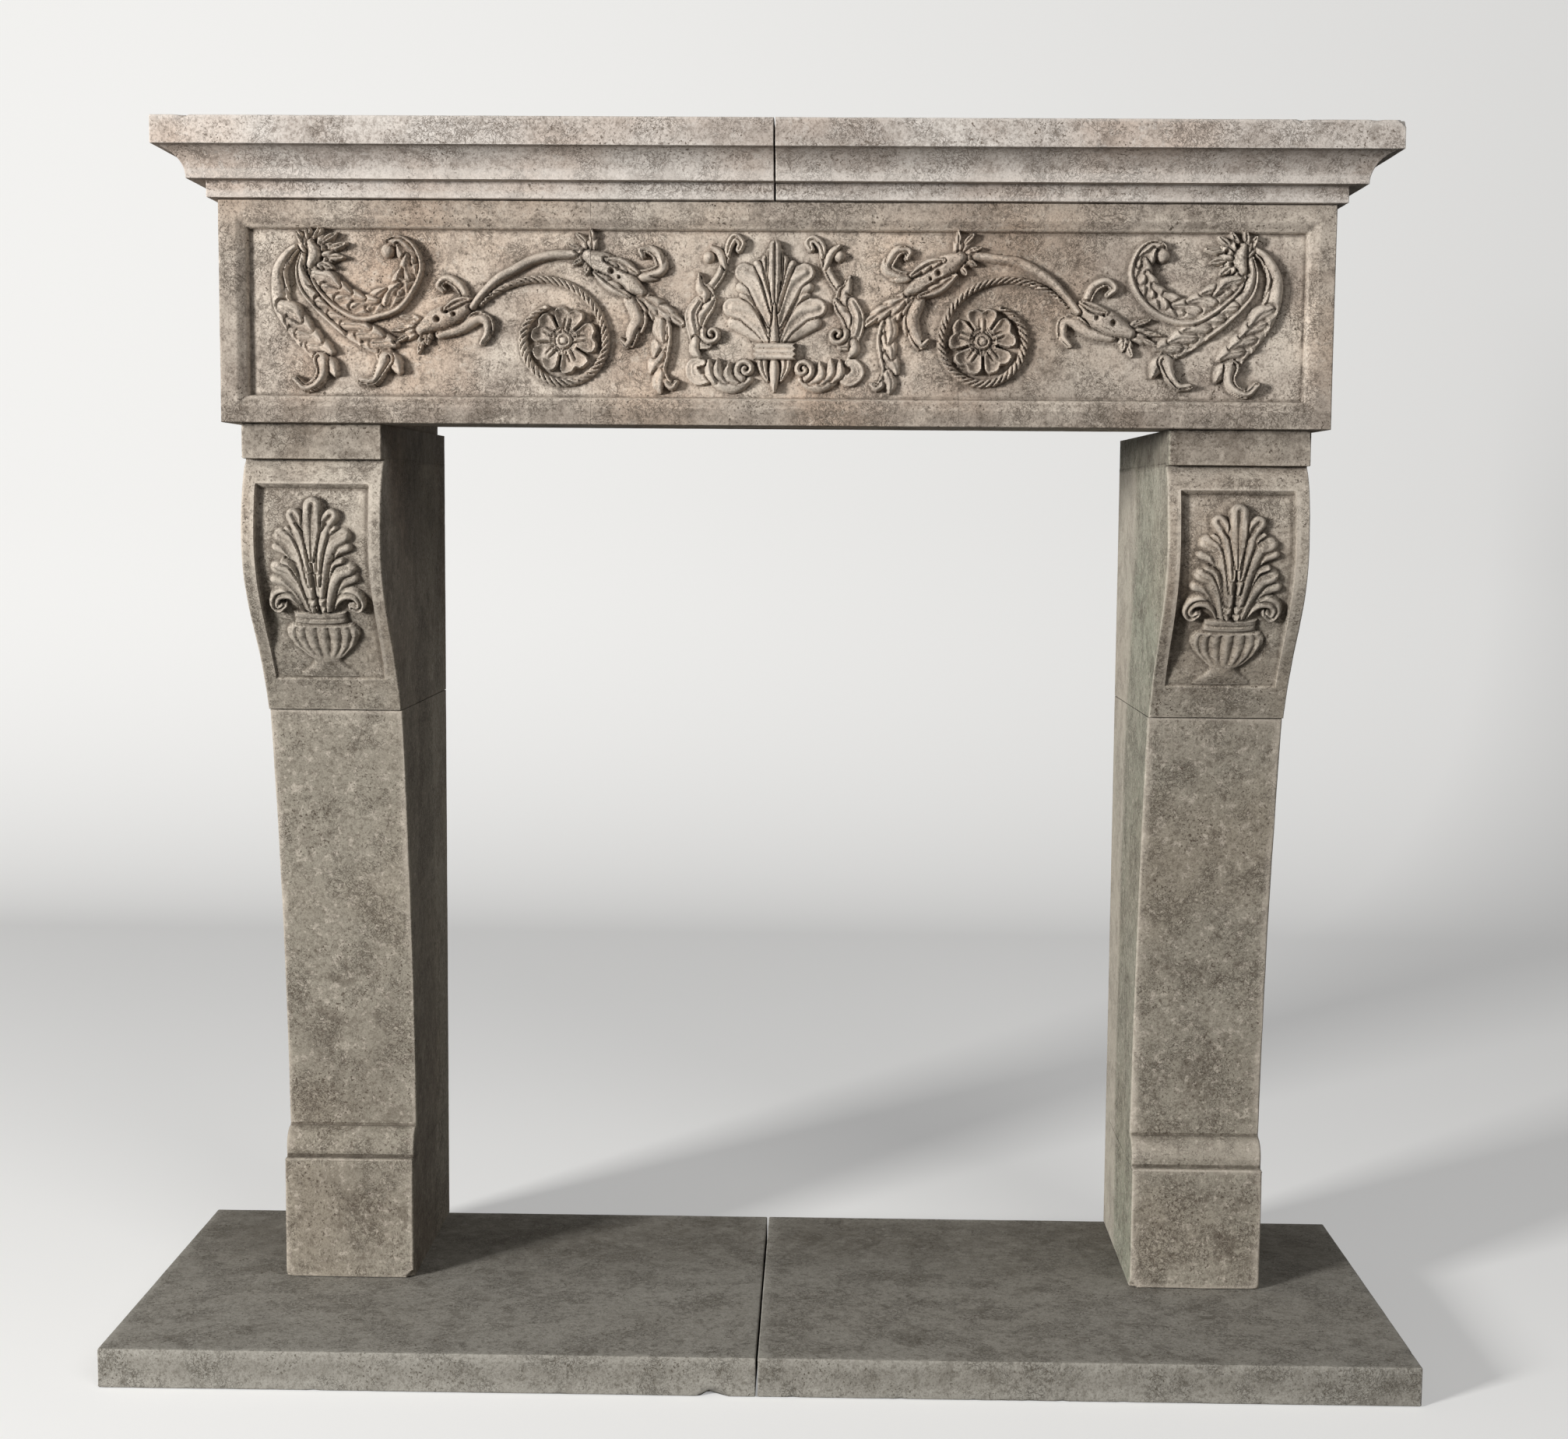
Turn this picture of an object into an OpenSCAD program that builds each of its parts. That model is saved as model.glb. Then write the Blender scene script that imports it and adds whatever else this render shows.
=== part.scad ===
// Carved limestone fireplace mantel on a two-slab hearth.
// Millimetres. X runs along the mantel, +Y points to the wall behind it, +Z is up.
// The origin is the centre of the hearth's underside.

/* [Hearth] */
// Length of the two hearth slabs together
hearth_w = 1786; // [1650:2:2200]
// Depth of the hearth, from the wall to its front edge
hearth_d = 608; // [600:2:900]
// Thickness of the hearth slabs
hearth_t = 55; // [30:1:100]
// How far the mantel stands to the right of the hearth's middle
mantel_shift = 12; // [0:1:40]
// Open joint between the two hearth slabs, and between the two shelf stones
seam = 1.5; // [0.5:0.5:4]

/* [Legs] */
// Clear width between the legs
opening_w = 1056; // [860:2:1280]
// Width of a leg across its front
leg_w = 190; // [150:2:240]
// Height of a leg stone, from the hearth to the joint under the corbel
leg_h = 848; // [680:2:1020]
// Depth of a leg stone at its top
leg_top_d = 366; // [330:2:420]
// Depth of a leg stone just above its base moulding
leg_low_d = 279; // [240:2:300]
// Height of the plinth
plinth_h = 180; // [120:2:240]
// Depth of the plinth
plinth_d = 315; // [300:1:360]
// Height of the round moulding on the plinth
roll_h = 43; // [30:1:60]
// Depth of the round moulding at its fullest
roll_d = 305; // [290:1:330]

/* [Corbels] */
// Height of a corbel stone, with its cap
corbel_h = 399; // [330:1:480]
// Height of the cap
cap_h = 48; // [35:1:70]
// Depth of the cap
cap_d = 502; // [480:2:560]
// Depth of the corbel at its fullest
belly_d = 513; // [500:1:580]
// Depth of the corbel just under its cap
neck_d = 480; // [440:2:500]
// Depth of the corbel at its foot
corbel_foot_d = 373; // [340:1:420]
// Width of the frame at each side of the sunk panel
corbel_margin = 18; // [12:1:30]
// Height of the plain band over the sunk panel
corbel_band_top = 33; // [20:1:45]
// Height of the plain band under the sunk panel
corbel_band_foot = 46; // [30:1:60]
// Depth of the sunk panel
corbel_sink = 11; // [6:1:16]

/* [Lintel] */
// Height of the lintel
lintel_h = 293; // [240:1:350]
// Thickness of the lintel, front to back
lintel_t = 132; // [100:2:180]
// Overhang of the lintel past the leg, at each end
lintel_over = 20; // [5:1:40]
// Overhang of the lintel in front of the corbel cap
lintel_front_over = 26; // [5:1:40]
// Width of the flat frame around the sunk panel
frame_w = 22; // [16:1:26]
// Width of the sloping edge inside the frame
bevel_w = 13; // [8:1:15]
// Depth of the sloping edge
bevel_d = 7; // [4:1:8]
// Depth of the square step inside the sloping edge
step_d = 7; // [4:1:10]

/* [Returns] */
// Thickness of the block on the left leg, behind the lintel
left_return_t = 200; // [120:2:208]
// Thickness of the block on the right leg, behind the lintel
right_return_t = 130; // [100:2:208]

/* [Shelf] */
// Height of the fillet on the lintel
fillet_h = 22; // [14:1:30]
// Projection of the fillet from the lintel
fillet_out = 12; // [6:1:18]
// Projection of the lip under the cove
cove_in = 33; // [24:1:40]
// Height of the cove
cove_h = 39; // [25:1:50]
// Height of the shelf's square edge
edge_h = 37; // [25:1:60]
// Projection of the shelf's square edge from the lintel
edge_out = 69; // [60:1:100]

/* [Carving] */
// Height of the leaf bodies over the sunk panels
leaf_h = 9; // [5:0.5:10]
// Height of the leaf ribs over the sunk panels
rib_h = 12; // [8:0.5:14]
// Radius of the rope ring around each rosette
ring_r = 57; // [50:1:58]
// Thickness of the carved rope
rope_t = 11; // [8:1:13]
// Radius of the rosettes
rosette_r = 43; // [36:1:45]

/* [Hidden] */

stone = [0.66, 0.63, 0.57];
pale_stone = [0.72, 0.69, 0.64];
grey_stone = [0.56, 0.55, 0.51];

wall = hearth_d / 2;
leg_in = opening_w / 2;
leg_out = leg_in + leg_w;
lintel_half = leg_out + lintel_over;
lintel_d = cap_d + lintel_front_over;
corbel_z = hearth_t + leg_h;
lintel_z = corbel_z + corbel_h;
shelf_z = lintel_z + lintel_h;
floor_d = lintel_d - bevel_d - step_d;

// How deep a carved shape is let into the stone behind it, so that the two are one
bed = 4;
// Steps along a moulded curve
steps = 12;
// Steps along each of the three curves of a corbel's front
corbel_steps = 7;
// The carving's points are laid out for sunk panels of these sizes, and stretch with the real ones:
// half the frieze panel's width, its height, and how high its foot is over the lintel's underside
frieze_half = 703;
frieze_h = 223;
frieze_foot = 35;
// width and height of a corbel's panel, and how high its foot is over the corbel's
plant_w = 154;
plant_h = 272;
plant_foot = 46;

// ---------- curves ----------

// Point on a cubic Bezier curve with the four control points q
function bezier(q, t) = pow(1 - t, 3) * q[0] + 3 * pow(1 - t, 2) * t * q[1]
    + 3 * (1 - t) * t * t * q[2] + pow(t, 3) * q[3];

// Point on the smooth curve that passes through all the points p, for s from 0 to len(p) - 1
function through(p, s) =
    let (n = len(p) - 1, i = min(floor(s), n - 1), t = s - i,
        a = p[max(i - 1, 0)], b = p[i], c = p[i + 1], d = p[min(i + 2, n)])
    0.5 * (2 * b + (c - a) * t + (2 * a - 5 * b + 4 * c - d) * t * t
        + (3 * b - a - 3 * c + d) * t * t * t);

// Unit vector square to that curve, on its left
function square_to(p, s) =
    let (n = len(p) - 1, d = through(p, min(s + 0.05, n)) - through(p, max(s - 0.05, 0)))
    [-d[1], d[0]] / norm(d);

// Half width of a strip: from w[0] to w[2], swelling by w[1] in the middle, with scalloped lobes
function half_width(w, lobes, t) = (w[0] + (w[2] - w[0]) * t + w[1] * sin(180 * t))
    * (lobes == 0 ? 1 : 0.8 + 0.2 * abs(sin(180 * lobes * t)));

// Outline of a strip that follows the curve through p
function strip(p, w, lobes, n) =
    let (last = len(p) - 1, edge = function(t, side)
        through(p, t * last) + side * half_width(w, lobes, t) * square_to(p, t * last))
    concat([for (i = [0:n]) edge(i / n, 1)], [for (i = [n:-1:0]) edge(i / n, -1)]);

// ---------- moulded profiles, as depth and height ----------

// Front of the corbel from under the cap down to its foot: three curves that meet smoothly
function corbel_front(sink) =
    let (top = corbel_h - cap_h, belly = 0.61 * corbel_h, waist = 0.27 * corbel_h,
        waist_d = corbel_foot_d + 0.5 * (belly_d - corbel_foot_d),
        a = [[neck_d, top], [neck_d + 22, top - 14], [belly_d, belly + 42], [belly_d, belly]],
        b = [[belly_d, belly], [belly_d, belly - 52], [waist_d + 34, waist + 40], [waist_d, waist]],
        c = [[waist_d, waist], [waist_d - 34, waist - 40], [corbel_foot_d + 14, 32],
            [corbel_foot_d, 0]],
        n = corbel_steps)
    [for (q = [a, b, c]) for (i = [(q == a ? 0 : 1):n]) bezier(q, i / n) - [sink, 0]];

// Front of the leg stone from its top down to the round moulding
function leg_front() =
    let (low = plinth_h + roll_h, mid = (leg_h + low) / 2,
        q = [[leg_top_d, leg_h], [leg_low_d + 0.42 * (leg_top_d - leg_low_d), mid + 90],
            [leg_low_d + 0.12 * (leg_top_d - leg_low_d), mid - 110], [leg_low_d, low]])
    [for (i = [0:steps]) bezier(q, i / steps)];

// The round moulding: a half oval that bulges past the leg's front
function roll_front() =
    [for (i = [1:steps]) [leg_low_d + (roll_d - leg_low_d) * sin(15 * i),
        plinth_h + roll_h * (1 + cos(15 * i)) / 2]];

// The shelf's edge as projection and height: fillet, lip, hollow cove, square edge
function shelf_edge() = concat(
    [[0, 0], [fillet_out, 0], [fillet_out, fillet_h]],
    [for (i = [0:steps]) [edge_out - (edge_out - cove_in) * cos(90 * i / steps),
        fillet_h + cove_h * sin(90 * i / steps)]],
    [[edge_out, fillet_h + cove_h + edge_h], [0, fillet_h + cove_h + edge_h]]);

// A side profile of depths and heights, from x0 over the width w
module side_block(x0, w, pts)
    translate([x0, wall, 0]) rotate([90, 0, 90]) linear_extrude(w)
        polygon([for (p = pts) [-p[0], p[1]]]);

// ---------- carving, drawn flat with its outline in X and Z ----------

// A leaf or stem: a strip with upright edges that rises to a rib along its middle
module ribbon(p, w, lobes = 0, n = 6) {
    count = max(n, 2 * lobes);
    last = len(p) - 1;
    section = [[1, 0], [1, bed + 0.55 * leaf_h], [0, bed + rib_h], [-1, bed + 0.55 * leaf_h], [-1, 0]];
    pts = [for (i = [0:count]) let (t = i / count, c = through(p, t * last),
        side = half_width(w, lobes, t) * square_to(p, t * last))
        for (q = section) concat(c + q[0] * side, [q[1]])];
    k = len(section);
    polyhedron(pts, concat([[for (j = [0:k - 1]) j]], [[for (j = [k - 1:-1:0]) count * k + j]],
        [for (i = [0:count - 1]) for (j = [0:k - 1]) let (a = i * k, m = (j + 1) % k)
            [a + j, a + k + j, a + k + m, a + m]]));
}

// A rounded knob, such as the tip of a curled leaf
module bead(at, r) translate(at) hull() {
    cylinder(h = bed + 0.5 * leaf_h, r = r, $fn = 9);
    cylinder(h = bed + rib_h, r = 0.5 * r, $fn = 6);
}

// One lobe of a palmette, from its root to its broad round tip
module lobe(root, tip, w) hull() {
    translate(root) cylinder(h = bed + 0.5 * leaf_h, r = 0.2 * w, $fn = 8);
    translate(tip) cylinder(h = bed + 0.5 * leaf_h, r = 0.5 * w, $fn = 10);
    translate(root + 0.8 * (tip - root)) cylinder(h = bed + rib_h, r = 0.15 * w, $fn = 6);
}

// A bunch of pointed sepals around one point, opening towards the direction a
module sepals(at, a) {
    for (k = [-1:1])
        translate(at) rotate(a + 38 * k) hull() {
            cylinder(h = bed + leaf_h, r = 6, $fn = 6);
            linear_extrude(bed + rib_h - 3 - abs(k)) polygon([[0, -6], [14, -5], [24, 0], [14, 5], [0, 6]]);
        }
}

// Six broad petals around a boss
module rosette() {
    petals = 6;
    for (k = [0:petals - 1]) rotate(60 * k + 30)
        lobe([8, 0], [0.68 * rosette_r, 0], 0.62 * rosette_r);
    bead([0, 0], 10);
}

// The rope leaves the stem, swings over the rosette and closes into a ring around it
module rope() {
    full = 173;
    sweep = 150;
    reach = 64;
    r0 = ring_r - rope_t / 2;
    spiral = [for (i = [0:5]) let (a = full - sweep * (5 - i) / 5,
        r = r0 + reach * pow((full - a) / sweep, 2)) r * [cos(a), sin(a)]];
    ribbon(spiral, [rope_t / 2, 0, rope_t / 2], 0, 10);
    rotate_extrude($fn = 20) polygon([[r0 - rope_t / 2, 0], [r0 + rope_t / 2, 0],
        [r0 + rope_t / 2, bed + 0.5 * leaf_h], [r0, bed + rib_h], [r0 - rope_t / 2, bed + 0.5 * leaf_h]]);
}

// One half of the frieze, from the centre line out; heights are over the lintel's underside
module half_frieze() {
    // three leaves at the end, that hang from one knot and curl at their tips
    ribbon([[620, 232], [648, 208], [656, 174], [640, 130], [612, 94], [608, 64], [622, 52]],
        [4, 12, 4], 6);
    ribbon([[614, 228], [627, 200], [616, 158], [574, 124], [528, 100], [514, 74], [536, 54]],
        [4, 13, 4], 6);
    ribbon([[612, 205], [600, 172], [564, 154], [513, 155], [478, 181], [476, 214], [496, 232]],
        [4, 12, 4], 5);
    sepals([602, 222], 100);
    bead([624, 52], 9);
    bead([540, 55], 9);
    bead([504, 230], 9);
    // the first bud and its two curling leaves
    sepals([478, 118], 20);
    ribbon([[470, 120], [445, 136], [415, 143], [395, 158]], [8, 12, 5]);
    ribbon([[450, 138], [420, 158], [418, 184], [436, 188]], [4, 5, 4]);
    ribbon([[430, 128], [395, 140], [374, 136], [384, 114]], [4, 6, 4]);
    // the plain stem to the second bud, over the rope and the rosette
    ribbon([[400, 158], [367, 190], [322, 216], [262, 226]], [5, 2, 5]);
    translate([278, 111, 0]) rope();
    translate([278, 111, 0]) rosette();
    // the second bud, its curl and its three trailing leaves
    sepals([250, 222], 40);
    ribbon([[240, 216], [205, 196], [176, 176]], [9, 12, 6]);
    ribbon([[200, 200], [165, 196], [150, 208], [162, 222]], [4, 5, 4]);
    ribbon([[200, 186], [180, 160], [180, 128], [200, 112]], [5, 6, 4], 3);
    ribbon([[182, 176], [152, 150], [128, 132]], [4, 7, 4], 2);
    ribbon([[178, 166], [155, 140], [153, 80], [132, 54]], [4, 9, 4], 4);
    // the upright scroll beside the palmette, and the scroll at its foot
    ribbon([[52, 238], [64, 218], [78, 184], [104, 156], [104, 126], [84, 110], [74, 122]],
        [3, 7, 3], 5);
    bead([78, 124], 8);
    ribbon([[86, 226], [66, 204]], [6, 0, 3], 0, 2);
    ribbon([[104, 122], [109, 104], [98, 92]], [3, 3, 4], 0, 4);
    ribbon([[26, 74], [36, 60], [68, 64], [96, 80], [110, 72]], [4, 6, 4], 3);
    bead([36, 76], 9);
}

// The palmette in the middle: lobes over a moulded band, with a drop below
module palmette() {
    lobe([0, 110], [0, 230], 20);
    for (m = [0, 1]) mirror([m, 0, 0]) {
        lobe([3, 170], [16, 214], 15);
        lobe([4, 140], [38, 198], 26);
        lobe([5, 122], [46, 160], 23);
        lobe([6, 112], [40, 134], 16);
        ribbon([[8, 96], [19, 82], [14, 64]], [3, 2, 3], 0, 4);
    }
    for (k = [0:2])
        translate([-27 + 1.5 * k, 90 + 6 * k, 0]) cube([54 - 3 * k, 6.5, leaf_h + bed + k]);
    linear_extrude(rib_h + bed) polygon([[-15, 91], [15, 91], [4, 50], [0, 44], [-4, 50]]);
}

// ---------- the pieces ----------

module hearth_slab(side) {
    half = (hearth_w - seam) / 2;
    color(grey_stone) translate([side < 0 ? -hearth_w / 2 : seam / 2, -wall, 0])
        cube([half, hearth_d, hearth_t]);
}

module leg(side) {
    x0 = mantel_shift + (side < 0 ? -leg_out : leg_in);
    color(stone) translate([0, 0, hearth_t]) side_block(x0, leg_w, concat(
        [[0, 0], [0, leg_h]], leg_front(), roll_front(), [[plinth_d, plinth_h], [plinth_d, 0]]));
}

// Height of the sunk panel on a corbel
function sunk_h() = corbel_h - cap_h - corbel_band_top - corbel_band_foot;

// The leafy plant carved on a corbel, as a flat outline
module plant() {
    for (i = [0:1]) translate([0, 288 - 200 * i]) circle(11 - 3 * i, $fn = 12);
    polygon(strip([[0, 114], [0, 200], [0, 290]], [7, 3, 8], 0, 4));
    for (m = [0, 1]) mirror([m, 0]) {
        for (k = [0:3]) {
            tip = [[21, 272], [44, 246], [54, 206], [50, 170]][k];
            root = [1, 216 - 28 * k];
            hull() {
                translate(root) circle(5, $fn = 8);
                translate(tip) circle(10, $fn = 12);
            }
        }
        polygon(strip([[4, 118], [24, 146], [50, 150], [57, 134], [46, 128]], [4, 3, 4], 0, 8));
    }
}

// The footed urn under it, as a flat outline
module urn() {
    translate([-24, 46]) square([48, 11]);
    polygon([[-18, 56], [18, 56], [11, 63], [14, 70], [-14, 70], [-11, 63]]);
    polygon([for (i = [0:steps]) [48 * cos(180 + 15 * i), 107 + 42 * sin(180 + 15 * i)]]);
    translate([-38, 105]) square([76, 11]);
}

// What stands out of the sunk panel by the height h, wherever the flat outline covers it
module on_corbel(x0, h) {
    w = leg_w - corbel_margin;
    outer = corbel_front(corbel_sink - h);
    inner = corbel_front(corbel_sink + bed);
    intersection() {
        side_block(x0 + corbel_margin / 2, w, concat(outer,
            [for (i = [len(inner) - 1:-1:0]) inner[i]]));
        translate([x0 + leg_w / 2, wall, corbel_band_foot]) rotate([90, 0, 0])
            linear_extrude(belly_d + cap_d)
                scale([(leg_w - 2 * corbel_margin) / plant_w, sunk_h() / plant_h])
                    translate([0, -plant_foot]) children();
    }
}

module corbel(side) {
    x0 = mantel_shift + (side < 0 ? -leg_out : leg_in);
    sunk_w = leg_w - 2 * corbel_margin;
    reach = belly_d + cap_d;
    color(stone) translate([0, 0, corbel_z]) {
        difference() {
            side_block(x0, leg_w, concat([[0, 0], [0, corbel_h], [cap_d, corbel_h],
                [cap_d, corbel_h - cap_h]], corbel_front(0)));
            intersection() {
                side_block(x0 + corbel_margin, sunk_w, concat(corbel_front(corbel_sink),
                    [[reach, 0], [reach, corbel_h - cap_h]]));
                translate([x0, wall - reach, corbel_band_foot]) cube([leg_w, reach, sunk_h()]);
            }
        }
        on_corbel(x0, leaf_h) plant();
        on_corbel(x0, leaf_h) urn();
        // seven ribs on the bowl
        on_corbel(x0, rib_h) for (k = [-3:3])
            hull() {
                translate([13 * k, 102]) circle(4, $fn = 8);
                translate([9 * k, 82 + abs(k) * 2]) circle(3.5, $fn = 8);
            }
    }
}

module lintel() {
    z0 = frame_w + bevel_w;
    color(stone) translate([mantel_shift, wall, lintel_z]) {
        difference() {
            translate([-lintel_half, -lintel_d, 0]) cube([2 * lintel_half, lintel_t, lintel_h]);
            translate([-lintel_half + z0, -lintel_d - 1, z0])
                cube([2 * (lintel_half - z0), lintel_d - floor_d + 1, lintel_h - 2 * z0]);
            for (s = [0, 1]) {
                mirror([s, 0, 0]) translate([lintel_half - frame_w, -lintel_d, frame_w])
                    linear_extrude(lintel_h - 2 * frame_w)
                        polygon([[0, 0], [-bevel_w, bevel_d], [-bevel_w - 1, bevel_d], [-bevel_w - 1, 0]]);
            }
            for (low = [true, false]) translate([-lintel_half + frame_w, 0, low ? 0 : lintel_h])
                mirror([0, 0, low ? 0 : 1]) rotate([90, 0, 90])
                    linear_extrude(2 * (lintel_half - frame_w))
                        polygon([[-lintel_d, frame_w], [-lintel_d + bevel_d, z0],
                            [-lintel_d + bevel_d, z0 + 1], [-lintel_d, z0 + 1]]);
        }
        translate([0, -floor_d + bed, z0]) rotate([90, 0, 0])
            scale([(lintel_half - z0) / frieze_half, (lintel_h - 2 * z0) / frieze_h, 1])
                translate([0, -frieze_foot, 0]) {
                    for (m = [0, 1]) mirror([m, 0, 0]) half_frieze();
                    palmette();
                }
    }
}

module return_block(side) {
    t = side < 0 ? left_return_t : right_return_t;
    color(stone) translate([mantel_shift + (side < 0 ? -lintel_half : lintel_half - t),
        wall - lintel_d + lintel_t, lintel_z])
        cube([t, lintel_d - lintel_t, lintel_h]);
}

// The mould runs along the front and returns along the end, so the two are mitred
module shelf(side) {
    length = lintel_half + edge_out - seam / 2;
    top = fillet_h + cove_h + edge_h;
    color(pale_stone) translate([mantel_shift, wall, shelf_z]) mirror([side < 0 ? 1 : 0, 0, 0])
        translate([seam / 2, 0, 0]) intersection() {
            rotate([90, 0, 90]) linear_extrude(length) polygon(concat([[0, top], [0, 0]],
                [for (p = shelf_edge()) [-lintel_d - p[0], p[1]]]));
            rotate([90, 0, 0]) linear_extrude(lintel_d + edge_out) polygon(concat([[0, top], [0, 0]],
                [for (p = shelf_edge()) [lintel_half - seam / 2 + p[0], p[1]]]));
        }
}

hearth_slab(-1);  // left_hearth_slab
hearth_slab(1);  // right_hearth_slab
leg(-1);  // left_leg
leg(1);  // right_leg
corbel(-1);  // left_corbel
corbel(1);  // right_corbel
lintel();
return_block(-1);  // left_return
return_block(1);  // right_return
shelf(-1);  // left_shelf
shelf(1);  // right_shelf
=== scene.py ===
"""A carved limestone fireplace mantel on its two-slab hearth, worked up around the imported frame. Metres."""

import math

import bpy
import numpy as np
from mathutils import Matrix, Vector


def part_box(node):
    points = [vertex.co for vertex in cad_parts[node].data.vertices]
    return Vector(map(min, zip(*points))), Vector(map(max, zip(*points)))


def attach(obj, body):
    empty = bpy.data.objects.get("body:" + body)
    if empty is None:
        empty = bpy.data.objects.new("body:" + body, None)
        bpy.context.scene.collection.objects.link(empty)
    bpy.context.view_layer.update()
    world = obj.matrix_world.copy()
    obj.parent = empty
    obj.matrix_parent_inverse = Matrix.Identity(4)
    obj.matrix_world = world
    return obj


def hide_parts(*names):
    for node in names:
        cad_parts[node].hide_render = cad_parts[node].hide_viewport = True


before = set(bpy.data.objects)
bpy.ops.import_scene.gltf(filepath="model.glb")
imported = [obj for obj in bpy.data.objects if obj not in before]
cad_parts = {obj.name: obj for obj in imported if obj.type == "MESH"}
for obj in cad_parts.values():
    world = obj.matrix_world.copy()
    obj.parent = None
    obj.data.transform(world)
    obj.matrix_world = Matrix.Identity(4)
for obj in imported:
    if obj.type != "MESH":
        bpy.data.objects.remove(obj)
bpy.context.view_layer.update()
mm = 0.001

# ---------- The hearth ----------
# Two slabs of greyer limestone laid side by side with a hairline joint, sawn flat on top and
# rubbed along the front edge. Years of feet and falling logs have dulled the top and nicked
# the arrises. The stone workshop that every other block shares starts here.


def noise(points, size, seed=0, octaves=3):
    """Smooth random field from -1 to 1: a random number at each corner of a lattice of cells of that
    size, blended by a smooth step, and each octave half as large and half as strong."""
    total = np.zeros(len(points))
    strength = 1.0
    for octave in range(octaves):
        place = points * (2**octave / size) + 31.7 * (seed + 1)
        cell = np.floor(place).astype(np.int64)
        part = place - cell
        part = part * part * (3 - 2 * part)
        for corner in range(8):
            step = np.array([corner & 1, corner >> 1 & 1, corner >> 2])
            at = cell + step
            key = at[:, 0] * 73856093 ^ at[:, 1] * 19349663 ^ at[:, 2] * 83492791 ^ (seed * 7919)
            key = (key ^ key >> 15) * 2246822519 & 0xFFFFFFFF
            key = (key ^ key >> 13) * 3266489917 & 0xFFFFFFFF
            share = np.prod(np.where(step, part, 1 - part), axis=1)
            total += strength * share * (key / 0x7FFFFFFF - 1)
        strength /= 2
    return total / (2 - 2 * strength)


def bite(points, at, outward, radius, depth):
    """A chip: a rough ball whose centre lies radius minus depth outside the arris; points that fall
    inside the ball are pushed straight out to its skin."""
    outward = np.array(outward, float) / np.linalg.norm(outward)
    centre = np.array(at) + outward * (radius - depth)
    close = np.flatnonzero((np.abs(points - centre) < radius * 1.2).all(1))
    away = points[close] - centre
    reach = np.linalg.norm(away, axis=1)
    skin = radius * (1 + 0.10 * noise(points[close], radius * 0.6, 5, 2))
    inside = reach < skin
    points[close[inside]] = centre + away[inside] * (skin / reach)[inside, None]


def nicks(points, start, end, outward, count, seed, largest=7 * mm):
    """Small chips at random along one arris, from start to end."""
    rng = np.random.default_rng(seed)
    start, end = np.array(start, float), np.array(end, float)
    for share in rng.random(count):
        radius = largest * rng.uniform(0.5, 1)
        bite(points, start + share * (end - start), outward, radius, radius * rng.uniform(0.12, 0.3))


def put(name, data):
    """Adds an object to the scene."""
    thing = bpy.data.objects.new(name, data)
    bpy.context.scene.collection.objects.link(thing)
    return thing


def stone(name, node, material, points, quads, tris, wear, grain, seed, tone=None, dirt_and_painted_light=0, damp=0):
    """Puts a closed block in the scene. The skin is worn inwards along its normals by a smooth random
    field, and how far each point lies in a hollow or on an edge is kept for the material: the mean
    of its neighbours, taken twelve times over, minus the point, measured along the normal. What the
    caller adds on top is dirt in some places, painted shade in others, and painted light where it is
    below nought. damp is how green the face has grown."""
    mesh = bpy.data.meshes.new(name)
    mesh.from_pydata(points, [], quads.tolist() + tris.tolist())
    count = len(points)
    normal = np.zeros(count * 3)
    mesh.vertex_normals.foreach_get("vector", normal)
    normal = normal.reshape(-1, 3)
    depth = 0.5 + 0.35 * noise(points, grain, seed) + 0.15 * noise(points, grain / 6, seed + 1, 2)
    points = points - normal * (wear * np.clip(depth, 0, 1))[:, None]
    points = np.clip(points, *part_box(node))
    mesh.vertices.foreach_set("co", points.ravel())
    mesh.update()
    mesh.shade_smooth()
    mesh.set_sharp_from_angle(angle=math.radians(42))
    if tone is None:
        ends = np.zeros(len(mesh.edges) * 2, int)
        mesh.edges.foreach_get("vertices", ends)
        a, b = ends.reshape(-1, 2).T
        links = np.bincount(a, minlength=count) + np.bincount(b, minlength=count)
        mean = points
        for _ in range(12):
            mean = np.stack([np.bincount(a, mean[b, k], count) + np.bincount(b, mean[a, k], count)
                             for k in range(3)], 1) / links[:, None]
        tone = ((mean - points) * normal).sum(1) / (1.2 * mm)
    for label, value in (("hollow", np.clip(tone, -1, 1) + dirt_and_painted_light), ("damp", np.zeros(count) + damp)):
        mesh.attributes.new(label, "FLOAT", "POINT").data.foreach_set("value", value)
    piece = put(name, mesh)
    mesh.materials.append(material)
    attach(piece, "root")
    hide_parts(node)


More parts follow.
